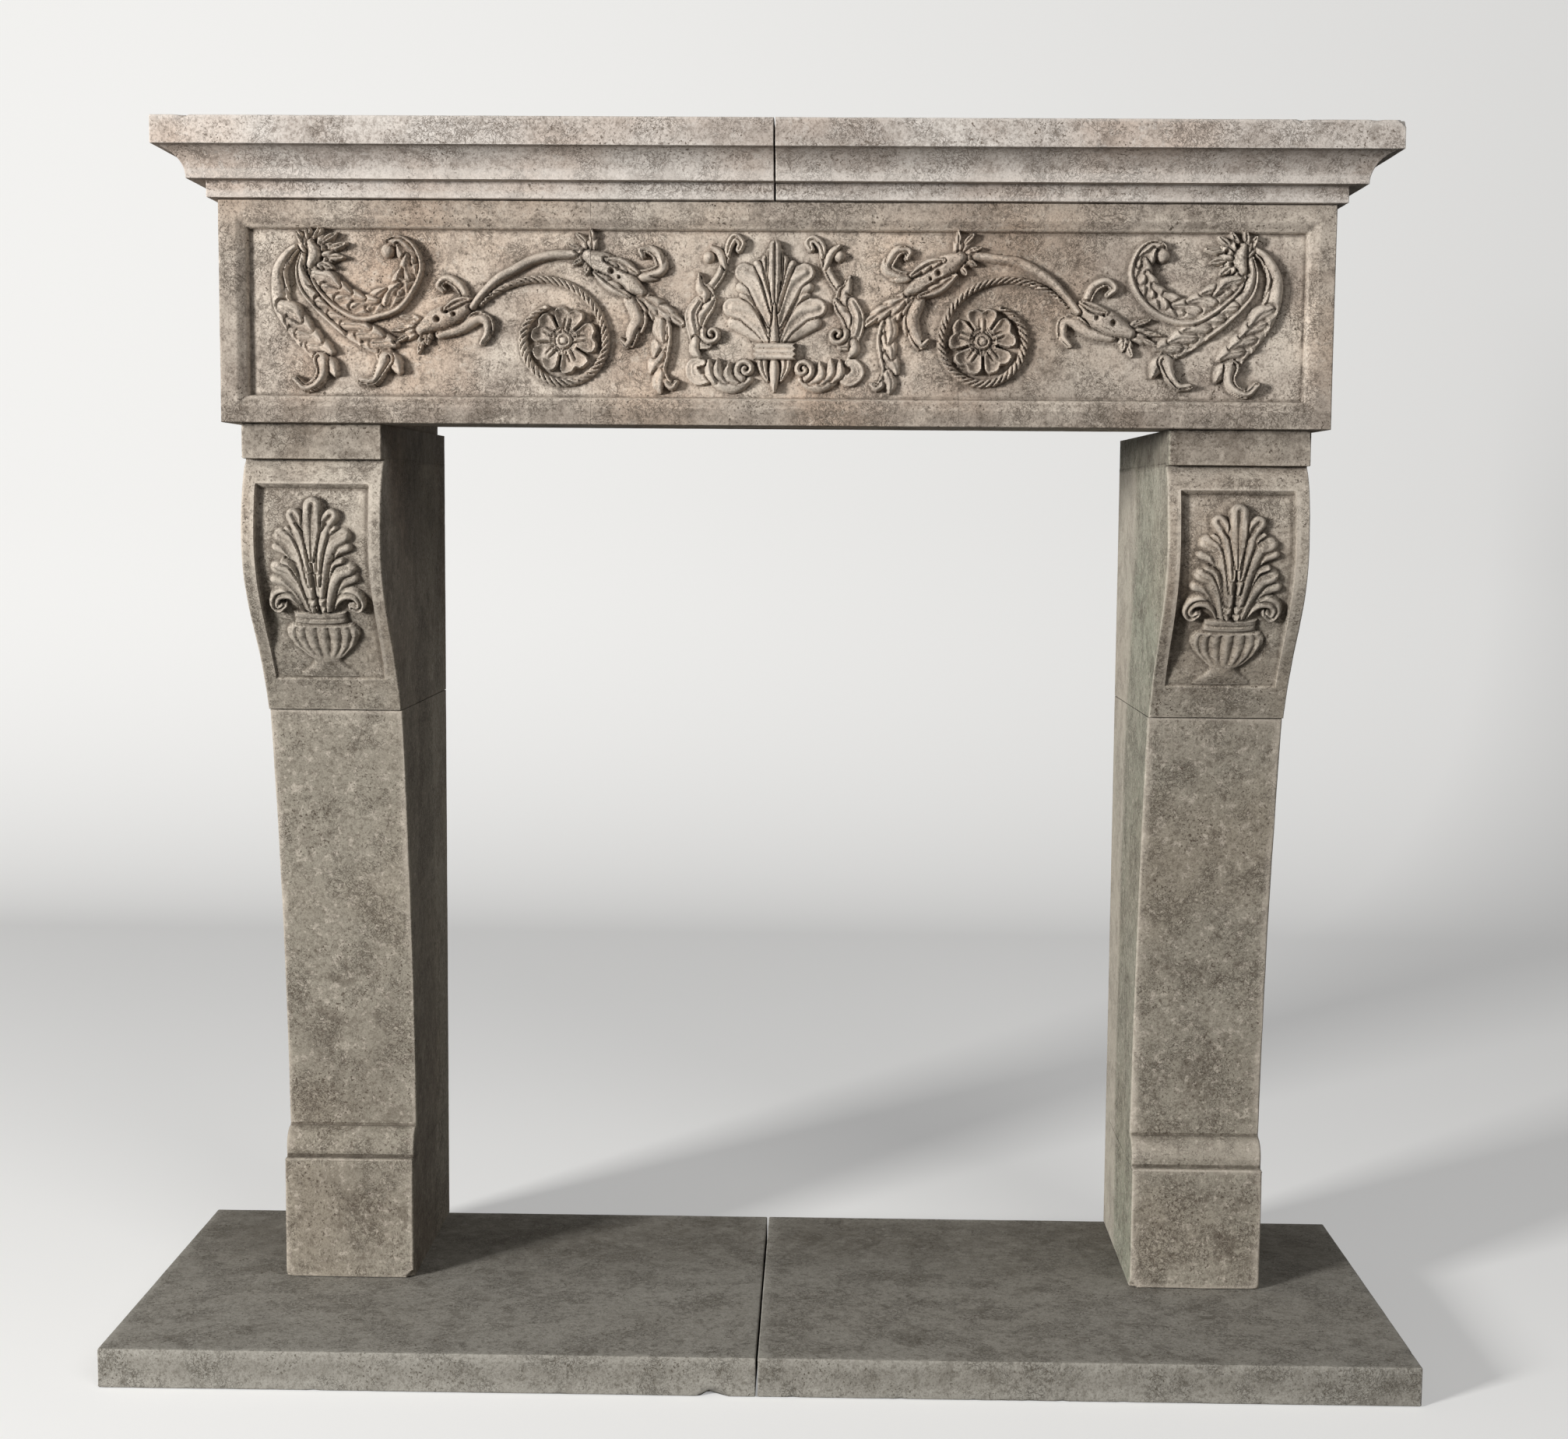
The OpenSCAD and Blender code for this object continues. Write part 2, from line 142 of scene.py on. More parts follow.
def layers(loops, cell, radius=2 * mm):
    """A block built of level outlines from the foot up. Each loop is (left, right, front, back, height),
    walked round a rectangle whose corners are rounded by pulling points to within the radius of a
    smaller rectangle, and inner loops close the top and bottom over a middle point."""
    left, right, front, back, _ = loops[len(loops) // 2]
    ease = np.array([0, 0.8, 1.8, 3.0, 5.0]) * mm
    runs = []
    for length, size in ((right - left, cell), (back - front, cell)):
        run = np.concatenate([ease, np.arange(9 * mm, length - 9 * mm, size), length - ease[::-1]])
        runs.append(run / length)
    across, deep = runs
    u = np.concatenate([across[:-1], np.ones(len(deep) - 1), across[:0:-1], np.zeros(len(deep) - 1)])
    v = np.concatenate([np.zeros(len(across) - 1), deep[:-1], np.ones(len(across) - 1), deep[:0:-1]])
    rings = []
    for x0, x1, y0, y1, z in loops:
        flat = np.stack([x0 + (x1 - x0) * u, y0 + (y1 - y0) * v], 1)
        inner = np.clip(flat, [x0 + radius, y0 + radius], [x1 - radius, y1 - radius])
        off = flat - inner
        length = np.linalg.norm(off, axis=1, keepdims=True)
        flat = inner + off * (radius / np.maximum(length, radius))
        rings.append(np.column_stack([flat, np.full(len(flat), z)]))
    n = len(u)
    points = np.vstack(rings + [rings[0].mean(0), rings[-1].mean(0)])
    at = np.arange(n)
    after = np.roll(at, -1)
    quads = [np.stack([k * n + at, k * n + after, (k + 1) * n + after, (k + 1) * n + at], 1)
             for k in range(len(rings) - 1)]
    top = (len(rings) - 1) * n
    tris = [np.stack([after, at, np.full(n, len(points) - 2)], 1),
            np.stack([top + at, top + after, np.full(n, len(points) - 1)], 1)]
    return points, np.vstack(quads), np.vstack(tris)


def shrunk(box, share):
    """The same level loop drawn in towards its middle."""
    left, right, front, back, z = box
    x, y = (left + right) / 2, (front + back) / 2
    return (x + (left - x) * share, x + (right - x) * share,
            y + (front - y) * share, y + (back - y) * share, z)


def upright(box, foot, top, ease=2.5 * mm, cell=9 * mm):
    """Loops of a plain block with eased edges at its foot and top, and inner loops to close both."""
    left, right, front, back = box
    turn = np.radians([0, 22, 45, 68, 90])
    sides = [(left + e, right - e, front + e, back - e, foot + h) for e, h in
             zip(ease * (1 - np.sin(turn)), ease * (1 - np.cos(turn)))]
    for z in np.arange(foot + ease + cell / 2, top - ease - cell / 2, cell):
        sides.append((left, right, front, back, z))
    sides += [(left + e, right - e, front + e, back - e, top - h) for e, h in
              zip(ease * (1 - np.cos(turn)), ease * (1 - np.sin(turn)))]
    inward = np.linspace(0.02, 0.97, 23)[::-1]
    return [shrunk(sides[0], s) for s in (0.05, 0.5, 0.9)] + sides + [shrunk(sides[-1], s) for s in inward]


def linear(colour):
    """An sRGB hex colour as linear RGBA."""
    value = [int(colour[k:k + 2], 16) / 255 for k in (1, 3, 5)]
    return [v / 12.92 if v <= 0.04045 else ((v + 0.055) / 1.055) ** 2.4 for v in value] + [1]


def add(tree, kind, settings=None, **inputs):
    """Adds one node: its settings, then its sockets by name or number, as values or links."""
    node = tree.nodes.new(kind)
    for key, value in (settings or {}).items():
        setattr(node, key, value)
    for key, value in inputs.items():
        numbered = key[0] == "i" and key[1:].isdigit()
        socket = node.inputs[int(key[1:]) if numbered else key.replace("_", " ")]
        if isinstance(value, bpy.types.NodeSocket):
            tree.links.new(value, socket)
        else:
            socket.default_value = value
    return node


def limestone(name, pale, dark, stain, dirt, foot):
    """Shelly limestone, tooled smooth, never polished: broad clouds of tone a hand wide, ragged
    bruises a thumb wide, a salt-and-pepper grain, dark pits of one to three millimetres, thin
    crescents of broken shell, brown dirt in the hollows, paler rubbed edges, painted shade in the
    same dirt colour and painted light in the same pale where a block adds them, and a cooler,
    greyer tone towards the foot."""
    material = bpy.data.materials.new(name)
    material.use_nodes = True
    tree = material.node_tree
    tree.nodes.clear()
    place = add(tree, "ShaderNodeTexCoord").outputs["Object"]

    def marks(size, detail, low, high, least=0.0, most=1.0, rough=0.5, swirl=0.0):
        """Where marks about that many metres across lie: least where the noise is under low, most
        where it is over high, and in proportion between."""
        cloud = add(tree, "ShaderNodeTexNoise", Vector=place, Scale=0.5 / size, Detail=detail,
                    Roughness=rough, Distortion=swirl).outputs["Fac"]
        return add(tree, "ShaderNodeMapRange", Value=cloud, From_Min=low, From_Max=high,
                   To_Min=least, To_Max=most).outputs["Result"]

    # greyer under the lintel, and more so down the legs
    height = add(tree, "ShaderNodeSeparateXYZ", Vector=place).outputs["Z"]
    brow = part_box("lintel")[0][2]
    under = add(tree, "ShaderNodeMapRange", Value=height, From_Min=brow + 2 * mm, From_Max=brow - 2 * mm,
                To_Max=0.30).outputs["Result"]
    lower = add(tree, "ShaderNodeMapRange", Value=height, From_Min=1.25, From_Max=0.80,
                To_Max=0.52).outputs["Result"]
    lower = add(tree, "ShaderNodeMath", {"operation": "ADD"}, i0=under, i1=lower).outputs[0]
    # pits about two millimetres wide, in swarms
    pits = add(tree, "ShaderNodeMath", {"operation": "MULTIPLY"},
               i0=marks(2 * mm, 2, 0.61, 0.645, rough=0.6),
               i1=marks(26 * mm, 4, 0.45, 0.60, 0.10, rough=0.6)).outputs[0]
    # broken shells of two sizes: each a line where a swirled noise crosses a level
    edges = []
    for size, rough, swirl, level, width in ((13 * mm, 0.55, 1.8, 0.5, 0.020),
                                             (6 * mm, 0.6, 2.5, 0.47, 0.024)):
        cloud = add(tree, "ShaderNodeTexNoise", Vector=place, Scale=0.5 / size, Detail=3,
                    Roughness=rough, Distortion=swirl).outputs["Fac"]
        off = add(tree, "ShaderNodeMath", {"operation": "SUBTRACT"}, i0=cloud, i1=level).outputs[0]
        off = add(tree, "ShaderNodeMath", {"operation": "ABSOLUTE"}, i0=off).outputs[0]
        edges.append(add(tree, "ShaderNodeMapRange", Value=off, From_Min=width * 0.3, From_Max=width,
                         To_Min=1.0, To_Max=0.0).outputs["Result"])
    shells = add(tree, "ShaderNodeMath", {"operation": "MAXIMUM"}, i0=edges[0], i1=edges[1]).outputs[0]
    shells = add(tree, "ShaderNodeMath", {"operation": "MULTIPLY"}, i0=shells,
                 i1=marks(34 * mm, 5, 0.47, 0.56, rough=0.65)).outputs[0]
    # what the mesh carries at each point: how damp its face is, and how far it lies in a hollow,
    # with painted shade added on some faces and painted light on others, so the dirt share below
    # also lays painted shade and the pale share also lays painted light
    damp = add(tree, "ShaderNodeAttribute", {"attribute_name": "damp"}).outputs["Fac"]
    hollow = add(tree, "ShaderNodeAttribute", {"attribute_name": "hollow"}).outputs["Fac"]
    sunk = add(tree, "ShaderNodeMapRange", Value=hollow, From_Min=0.10, From_Max=0.95).outputs["Result"]
    wear_and_painted_light = add(tree, "ShaderNodeMapRange", Value=hollow, From_Min=-0.15, From_Max=-0.9,
                 To_Max=0.40).outputs["Result"]

    # The washes, one over another: where each lies, what thins it, and its colour.
    pale, dark, stain, dirt, foot, moss = map(linear, (pale, dark, stain, dirt, foot, "#8f9583"))
    tone = pale
    for share, limits, colour in (
            # broad clouds of two sizes
            (marks(55 * mm, 6, 0.38, 0.64, rough=0.62, swirl=0.4), (), dark),
            (marks(130 * mm, 3, 0.48, 0.66, most=0.6), (), stain),
            # grey lower down, and a green bloom on the damp face
            (lower, (), foot),
            (damp, (marks(200 * mm, 3, 0.35, 0.65, 0.25, 0.62),), moss),
            # ragged bruises, gathered in patches a hand wide
            (marks(24 * mm, 9, 0.53, 0.58, rough=0.76, swirl=0.5),
             (marks(100 * mm, 3, 0.42, 0.60, 0.12, rough=0.6), 0.44), dirt),
            # dark and pale specks
            (marks(4.2 * mm, 4, 0.50, 0.64, most=0.50, rough=0.75), (), dirt),
            (marks(5.5 * mm, 3, 0.46, 0.34, most=0.42, rough=0.7), (), pale),
            # the grain: far finer in the stone, and drawn 1.4 mm wide so that it shows
            (marks(1.4 * mm, 2, 0.48, 0.68, most=0.50, rough=0.8), (), dirt),
            (pits, (0.95,), dirt),
            (shells, (0.70,), dirt),
            # dirt in the hollows, unevenly, and painted shade where a block adds it; rubbed edges, and
            # painted light where a block adds it
            (sunk, (marks(14 * mm, 4, 0.30, 0.60, 0.35, rough=0.6), 0.62), dirt),
            (wear_and_painted_light, (), pale)):
        for limit in limits:
            share = add(tree, "ShaderNodeMath", {"operation": "MULTIPLY"}, i0=share, i1=limit).outputs[0]
        tone = add(tree, "ShaderNodeMix", {"data_type": "RGBA"}, i0=share, i6=tone, i7=colour).outputs[2]

    # the tooled skin, with the pits and shells cut into it
    bumps = add(tree, "ShaderNodeMath", {"operation": "ADD"},
                i0=marks(3.2 * mm, 4, 0, 1, most=0.55, rough=0.7),
                i1=marks(16 * mm, 3, 0, 1, most=0.45)).outputs[0]
    cuts = add(tree, "ShaderNodeMath", {"operation": "MAXIMUM"}, i0=pits, i1=shells).outputs[0]
    cuts = add(tree, "ShaderNodeMath", {"operation": "MULTIPLY"}, i0=cuts, i1=0.35).outputs[0]
    bumps = add(tree, "ShaderNodeMath", {"operation": "SUBTRACT", "use_clamp": True}, i0=bumps,
                i1=cuts).outputs[0]
    bump = add(tree, "ShaderNodeBump", Strength=0.9, Distance=1.3 * mm, Height=bumps).outputs["Normal"]
    shader = add(tree, "ShaderNodeBsdfPrincipled", Base_Color=tone, Normal=bump, Roughness=0.88, IOR=1.5)
    shader.inputs["Specular IOR Level"].default_value = 0.25
    output = add(tree, "ShaderNodeOutputMaterial")
    tree.links.new(shader.outputs[0], output.inputs["Surface"])
    return material


grey_stone = limestone("trodden grey limestone", "#a29e95", "#868178", "#948c7f", "#554f45", "#918d84")
for side, node in ((-1, "left_hearth_slab"), (1, "right_hearth_slab")):
    low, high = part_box(node)
    points, quads, tris = layers(upright((low[0], high[0], low[1], high[1]), low[2], high[2]), 8 * mm)
    nicks(points, (low[0], low[1], high[2]), (high[0], low[1], high[2]), (0, -1, 1), 34, 11 + side, 9 * mm)
    nicks(points, (low[0], low[1], low[2]), (high[0], low[1], low[2]), (0, -1, -1), 26, 21 + side, 11 * mm)
    outer = high[0] if side > 0 else low[0]
    nicks(points, (outer, low[1], low[2]), (outer, low[1], high[2]), (side, -1, 0), 5, 31 + side)
    nicks(points, (outer, low[1], high[2]), (outer, high[1], high[2]), (side, 0, 1), 14, 41 + side)
    if side < 0:
        bite(points, (high[0] - 62 * mm, low[1], low[2]), (0.3, -1, -1), 26 * mm, 9 * mm)
    # painted shade over the back of the hearth slabs, and a darker front face
    painted_shade_and_dark_front = 0.9 * np.clip((points[:, 1] - low[1] - 0.22) / 0.25, 0, 1)
    painted_shade_and_dark_front += 0.55 * (points[:, 1] < low[1] + 3 * mm)
    stone(node.replace("_slab", "_stone"), node, grey_stone, points, quads, tris,
          1.2 * mm, 0.12, 60 + side, dirt_and_painted_light=painted_shade_and_dark_front)

# ---------- The legs ----------
# One block of limestone a side, standing on edge: a square plinth, a round moulding, and a shaft
# whose front leans forward as it rises. The shafts are smooth; the plinth corners have lost
# pieces where things knocked against them.


def block(front, back, cuts):
    """Closes a block behind a worked front. front is a grid of points, row by row from the foot; rings
    of its outline are carried to the back plane at the given shares of the way, and a fan of
    triangles around a middle point closes the back."""
    rows, cols = front.shape[:2]
    index = np.arange(rows * cols).reshape(rows, cols)
    rim = np.concatenate([index[0, :-1], index[:-1, -1], index[-1, :0:-1], index[:0:-1, 0]])
    outline = front.reshape(-1, 3)[rim]
    n = len(rim)
    rings, loops = [], [rim]
    for k, share in enumerate(cuts):
        ring = outline.copy()
        ring[:, 1] += (back - outline[:, 1]) * share
        rings.append(ring)
        loops.append(rows * cols + k * n + np.arange(n))
    points = np.vstack([front.reshape(-1, 3)] + rings + [rings[-1].mean(0)])
    quads = [np.stack([index[:-1, :-1], index[:-1, 1:], index[1:, 1:], index[1:, :-1]], -1).reshape(-1, 4)]
    for near, far in zip(loops, loops[1:]):
        quads.append(np.stack([near, far, np.roll(far, -1), np.roll(near, -1)], 1))
    last = loops[-1]
    return points, np.vstack(quads), np.stack([np.roll(last, -1), last, np.full(n, len(points) - 1)], 1)


def spread(length, cell, ease=3.0 * mm):
    """Places along a length: evenly spaced, and drawn together at both ends for a rounded arris."""
    near = ease * np.array([0, 0.12, 0.3, 0.55, 1.0])
    inner = np.linspace(ease, length - ease, max(2, round((length - 2 * ease) / cell)) + 1)
    return np.concatenate([near[:-1], inner, length - near[:-1][::-1]])


def bezier(corners, count):
    """Points of a cubic Bezier curve, the first one left out."""
    t = np.linspace(0, 1, count + 1)[1:, None]
    a, b, c, d = np.array(corners, float)
    return (1 - t) ** 3 * a + 3 * (1 - t) ** 2 * t * b + 3 * (1 - t) * t * t * c + t**3 * d


def travel(line):
    """How far along a line each of its points lies."""
    return np.concatenate([[0], np.cumsum(np.linalg.norm(np.diff(line, axis=0), axis=1))])


def sweep(profile, width, cells, ease):
    """A front grid from a side profile of (depth, height), foot first, carried straight across the
    width: walked evenly by length, with its outward normal, and its distance to the nearest edge.
    cells are the steps along the profile and across the width."""
    profile = np.array(profile, float)
    length = travel(profile)
    along = spread(length[-1], cells[0], ease)
    along = np.unique(np.concatenate([along, length]))
    along = along[np.concatenate([[True], np.diff(along) > 0.15 * mm])]
    across = spread(width, cells[1], ease)
    depth, height = (np.interp(along, length, profile[:, k]) for k in (0, 1))
    lean = np.stack([np.gradient(height, along), -np.gradient(depth, along)], 1)
    lean /= np.linalg.norm(lean, axis=1, keepdims=True)
    ends = np.minimum(along, along[-1] - along)
    edge = np.minimum(np.minimum(across, width - across)[None], ends[:, None])
    return across, depth, height, lean, edge


def eased(edge, radius):
    """How far a rounded arris falls away: a quarter circle of that radius within that distance."""
    short = np.clip(radius - edge, 0, radius)
    return radius - np.sqrt(np.maximum(radius**2 - short**2, 0))


def facing(low, swept, radius, grain, seed, cut=0.0):
    """A block behind a swept front. Its arrises are rounded to about that radius, unevenly by the
    grain, and cut is how much deeper the face is carved."""
    across, depth, height, out, edge = swept
    x, z = np.meshgrid(low[0] + across, low[2] + height)
    front = np.stack([x, wall - np.repeat(depth[:, None], len(across), 1), z], -1)
    radius = radius * (1 + 0.5 * noise(front.reshape(-1, 3), grain, seed, 3).reshape(x.shape))
    fall = eased(edge, radius) + cut
    front[..., 1] += fall * out[:, :1]
    front[..., 2] -= fall * out[:, 1:]
    return block(front, wall, side_cuts)


def inner_face(points, low, high, side):
    """1 on the face that looks into the opening."""
    return 1.0 * (points[:, 0] > high[0] - 2 * mm if side < 0 else points[:, 0] < low[0] + 2 * mm)


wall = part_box("left_leg")[1][1]
leg_top_d, leg_low_d = 366 * mm, 279 * mm
plinth_h, plinth_d = 180 * mm, 315 * mm
roll_h, roll_d = 43 * mm, 305 * mm
warm_stone = limestone("carved limestone", "#c6bbad", "#a2968a", "#b49b85", "#4c4238", "#7e796c")
side_cuts = np.array([0.004, 0.012, 0.025, 0.045, 0.08] + list(np.linspace(0.12, 1, 14)))
for side, node in ((-1, "left_leg"), (1, "right_leg")):
    low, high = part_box(node)
    leg_h = high[2] - low[2]
    foot = plinth_h + roll_h
    middle = (leg_h + foot) / 2
    turn = np.radians(np.arange(0, 91, 9))
    profile = [(plinth_d, 0), (plinth_d, plinth_h - 2.5 * mm), (plinth_d - 1 * mm, plinth_h - 0.7 * mm),
               (plinth_d - 3 * mm, plinth_h), (roll_d - 4 * mm, plinth_h + 0.4 * mm),
               (roll_d - 1.2 * mm, plinth_h + 4 * mm)]
    profile += [(leg_low_d + (roll_d - leg_low_d) * math.cos(a),
                 plinth_h + roll_h * (0.32 + 0.64 * math.sin(a))) for a in turn]
    profile += [(leg_low_d - 1.5 * mm, foot - 0.5 * mm), (leg_low_d, foot + 2 * mm)]
    lean = leg_top_d - leg_low_d
    profile += bezier([(leg_low_d, foot + 2 * mm), (leg_low_d + 0.12 * lean, middle - 110 * mm),
                       (leg_low_d + 0.42 * lean, middle + 90 * mm), (leg_top_d, leg_h)], 40).tolist()
    swept = sweep(profile, high[0] - low[0], (4 * mm, 8 * mm), 4 * mm)
    points, quads, tris = facing(low, swept, 3.4 * mm, 0.05, 71 + side)
    for x, way in ((low[0], -1), (high[0], 1)):
        nicks(points, (x, low[1], low[2]), (x, wall - plinth_d, low[2] + plinth_h),
              (way, -1, 0), 7, 81 + side * way, 8 * mm)
        nicks(points, (x, wall - leg_low_d, low[2] + foot), (x, wall - leg_top_d, high[2]),
              (way, -1, 0), 9, 91 + side * way)
    inner_x, outer_x = (high[0], low[0]) if side < 0 else (low[0], high[0])
    bite(points, (inner_x, wall - plinth_d, low[2]), (-side, -1, -0.8), 22 * mm, 9 * mm)
    bite(points, (outer_x, wall - plinth_d, low[2]), (side, -1, -1.2), 16 * mm, 6 * mm)
    points[:, 2] = np.maximum(points[:, 2], low[2])
    inner = inner_face(points, low, high, side)
    # painted shade on the left leg only: darker lower down its shaft, and on its inner face, which looks away
    # from the key lamp
    painted_shade = 0.42 * np.clip((high[2] - 0.25 - points[:, 2]) / 0.3, 0, 1) + 0.6 * inner
    stone(node.replace("leg", "leg_stone"), node, warm_stone, points, quads, tris,
          0.8 * mm, 0.05, 100 + side, dirt_and_painted_light=painted_shade * (side < 0), damp=inner * (side > 0))

# ---------- The corbels ----------
# A bracket block on each leg: a square cap, then a front that swells forward and draws back to the
# leg in one long S. Its front is cut back to a sunk panel with a palm of lobed leaves that grows
# from a gadrooned urn. Carved by hand with flat and round chisels, softened by age.


def smooth_line(points, step=1.0):
    """Points about one step apart on a Catmull-Rom curve through the given ones."""
    p = np.array(points, float)
    p = np.vstack([2 * p[0] - p[1], p, 2 * p[-1] - p[-2]])
    parts = []
    for a, b, c, d in zip(p, p[1:], p[2:], p[3:]):
        t = np.linspace(0, 1, max(2, int(np.linalg.norm(c - b) / step)), endpoint=False)[:, None]
        parts.append(0.5 * (2 * b + (c - a) * t + (2 * a - 5 * b + 4 * c - d) * t**2
                            + (3 * b - a - 3 * c + d) * t**3))
    return np.vstack(parts + [p[-2:-1]])


def bell(x):
    """1 at nought, falling away evenly on both sides."""
    return np.exp(-x**2)


def dome(q):
    """A half round across the width."""
    return np.sqrt(np.clip(1 - q * q, 0, 1))


def dished(q):
    """A leaf with a hollow middle, a fine vein along it and raised rims."""
    return np.clip(1 - q**6, 0, 1) ** 0.5 * (0.62 + 0.38 * q * q) + 0.16 * bell(q / 0.14)


def fluted(q):
    """Two hollow channels between three ribs."""
    return np.clip(1 - q**6, 0, 1) ** 0.5 * (0.85 + 0.15 * np.cos(2 * np.pi * q))


def rolled(q):
    """An acanthus leaf: broad and round over most of its width, with a deep channel and a thin raised
    rim along its right edge."""
    body = np.sqrt(np.clip(1 - ((q - 0.22) / 0.86) ** 2, 0, 1))
    rim = 0.85 * np.sqrt(np.clip(1 - ((q + 0.78) / 0.26) ** 2, 0, 1))
    return np.maximum(np.maximum(body, rim), 0.25 * np.clip(1 - q**8, 0, 1))


def turned(q):
    """The same leaf with its channel and rim on the left."""
    return rolled(-q)


def grooved(q):
    """A round lobe with one deep cut down its middle."""
    return np.clip(1 - q**4, 0, 1) ** 0.5 * (1 - 0.40 * bell(q / 0.22))


def leafy(q):
    """A leaflet that is highest along its right edge and rolls over to the left, with one fine vein."""
    return np.clip(1 - q * q, 0, 1) ** 0.5 * (0.84 - 0.20 * q) * (1 - 0.14 * bell((q - 0.2) / 0.16))


class Carving:
    """Relief over a flat ground: its height at every crossing of a grid, in millimetres."""

    def __init__(self, across, up):
        self.x, self.y = across, up
        self.height = np.zeros((len(up), len(across)))

    def part(self, low, high):
        """The rows and columns between two corners, and where each of their points is."""
        cols = slice(*np.searchsorted(self.x, (low[0], high[0])))
        rows = slice(*np.searchsorted(self.y, (low[1], high[1])))
        return (rows, cols), *np.meshgrid(self.x[cols], self.y[rows])

    def near(self, line, reach):
        """The grid within reach of a fine line, and for each point there the nearest place on the
        line, how far off that is, and whether the point lies left (1) or right (-1) of it."""
        at, x, y = self.part(line.min(0) - reach, line.max(0) + reach)
        away = (x[..., None] - line[:, 0]) ** 2 + (y[..., None] - line[:, 1]) ** 2
        k = away.argmin(-1)
        way = np.gradient(line, axis=0)[k]
        left = np.sign(way[..., 0] * (y - line[k, 1]) - way[..., 1] * (x - line[k, 0]))
        return at, k, np.sqrt(away.min(-1)), left

    def lay(self, at, height, inside, cut=2.6, keep=0.5):
        """Lays a shape over what is there. inside is the distance in from its outline; just outside
        it the carver has cut the older shapes back to the share that is kept."""
        old = self.height[at]
        beside = old * (keep + (1 - keep) * np.clip(-inside / cut, 0, 1))
        self.height[at] = np.where(inside > 0, np.maximum(height, keep * old), beside)

    def strip(self, points, width, height, section=dome, lobes=0, edge=0, deep=0.30, lean=0.5,
              cut=2.6, keep=0.5):
        """A stem or leaf along a smooth line. width is the half-width at its start, how much it swells
        in the middle, and at its end. lobes scallop the side edge (1 is left of the line, -1 right,
        0 both) and cut slanting veins. cut is how wide the carver's cut beside it is."""
        line = smooth_line(points)
        start, middle, end = width
        at, k, gap, left = self.near(line, max(start, end) + middle + 4)
        t = k / (len(line) - 1)
        half = start + (end - start) * t + middle * np.sin(np.pi * t)
        q = gap / half * left
        swell = 1
        if lobes:
            turn = (lobes * t - lean * np.abs(q)) % 1
            here = np.ones_like(q) if edge == 0 else np.clip(left * edge, 0, 1)
            tooth = (1 - turn) ** 1.5 + 0.6 * np.clip(turn * 5 - 4, 0, 1) ** 2
            half = half * (1 - deep * here * tooth)
            q = gap / half * left
            vein = 1 - np.sin(np.pi * turn) ** 0.6
            swell = 1 - 0.6 * here * np.clip(2.2 * np.abs(q) - 0.3, 0, 1) * vein
        self.lay(at, height * section(np.clip(q, -1, 1)) * swell, half - gap, cut, keep)

    def fronds(self, points, first, last, count, side, length, turn, width, height):
        """Leaflets that spring from a line on one side (1 left, -1 right), each over the next one on.
        Each leaves the line at the given angle in degrees and bends forward again to a blunt tip;
        they are shorter towards the end of the line."""
        line = smooth_line(points)
        for share in np.linspace(last, first, count):
            k = int(share * (len(line) - 4)) + 2
            ahead = line[k + 1] - line[k - 1]
            angle = math.atan2(ahead[1], ahead[0])
            size = length * (1.1 - 0.4 * share)
            out = angle + side * math.radians(turn)
            on = angle + side * math.radians(0.35 * turn)
            bend = line[k] + 0.5 * size * np.array([math.cos(out), math.sin(out)])
            tip = bend + 0.5 * size * np.array([math.cos(on), math.sin(on)])
            self.strip([line[k], bend, tip], (width * 0.8, width * 0.4, width * 0.45), height, leafy,
                       cut=2, keep=0.62)

    def knob(self, centre, radius, height):
        """A round bead."""
        at, x, y = self.part(np.array(centre) - radius - 3, np.array(centre) + radius + 3)
        gap = np.hypot(x - centre[0], y - centre[1])
        self.lay(at, height * dome(np.clip(gap / radius, 0, 1)), radius - gap)

    def drill(self, centre, radius, depth=9):
        """A hole bored straight in."""
        at, x, y = self.part(np.array(centre) - radius * 2, np.array(centre) + radius * 2)
        gap = np.hypot(x - centre[0], y - centre[1])
        self.height[at] -= depth * np.clip(1.5 - gap / radius, 0, 1)
        self.height[at] = np.maximum(self.height[at], -2)

    def slit(self, start, end, radius):
        """A row of shallow bores that run together."""
        for share in np.linspace(0, 1, 9):
            self.drill(np.add(start, share * np.subtract(end, start)), radius, 3)

    def volute(self, centre, radius, start, turns, width, height):
        """A spiral scroll: a strip whose distance from the centre shrinks evenly as it turns."""
        count = max(6, int(abs(turns) * 12))
        angle = np.radians(start) + 2 * np.pi * turns * np.linspace(0, 1, count)
        r = radius * np.linspace(1, 0.18, count)
        line = np.stack([centre[0] + r * np.cos(angle), centre[1] + r * np.sin(angle)], 1)
        self.strip(line, (width, 0, width * 0.7), height)


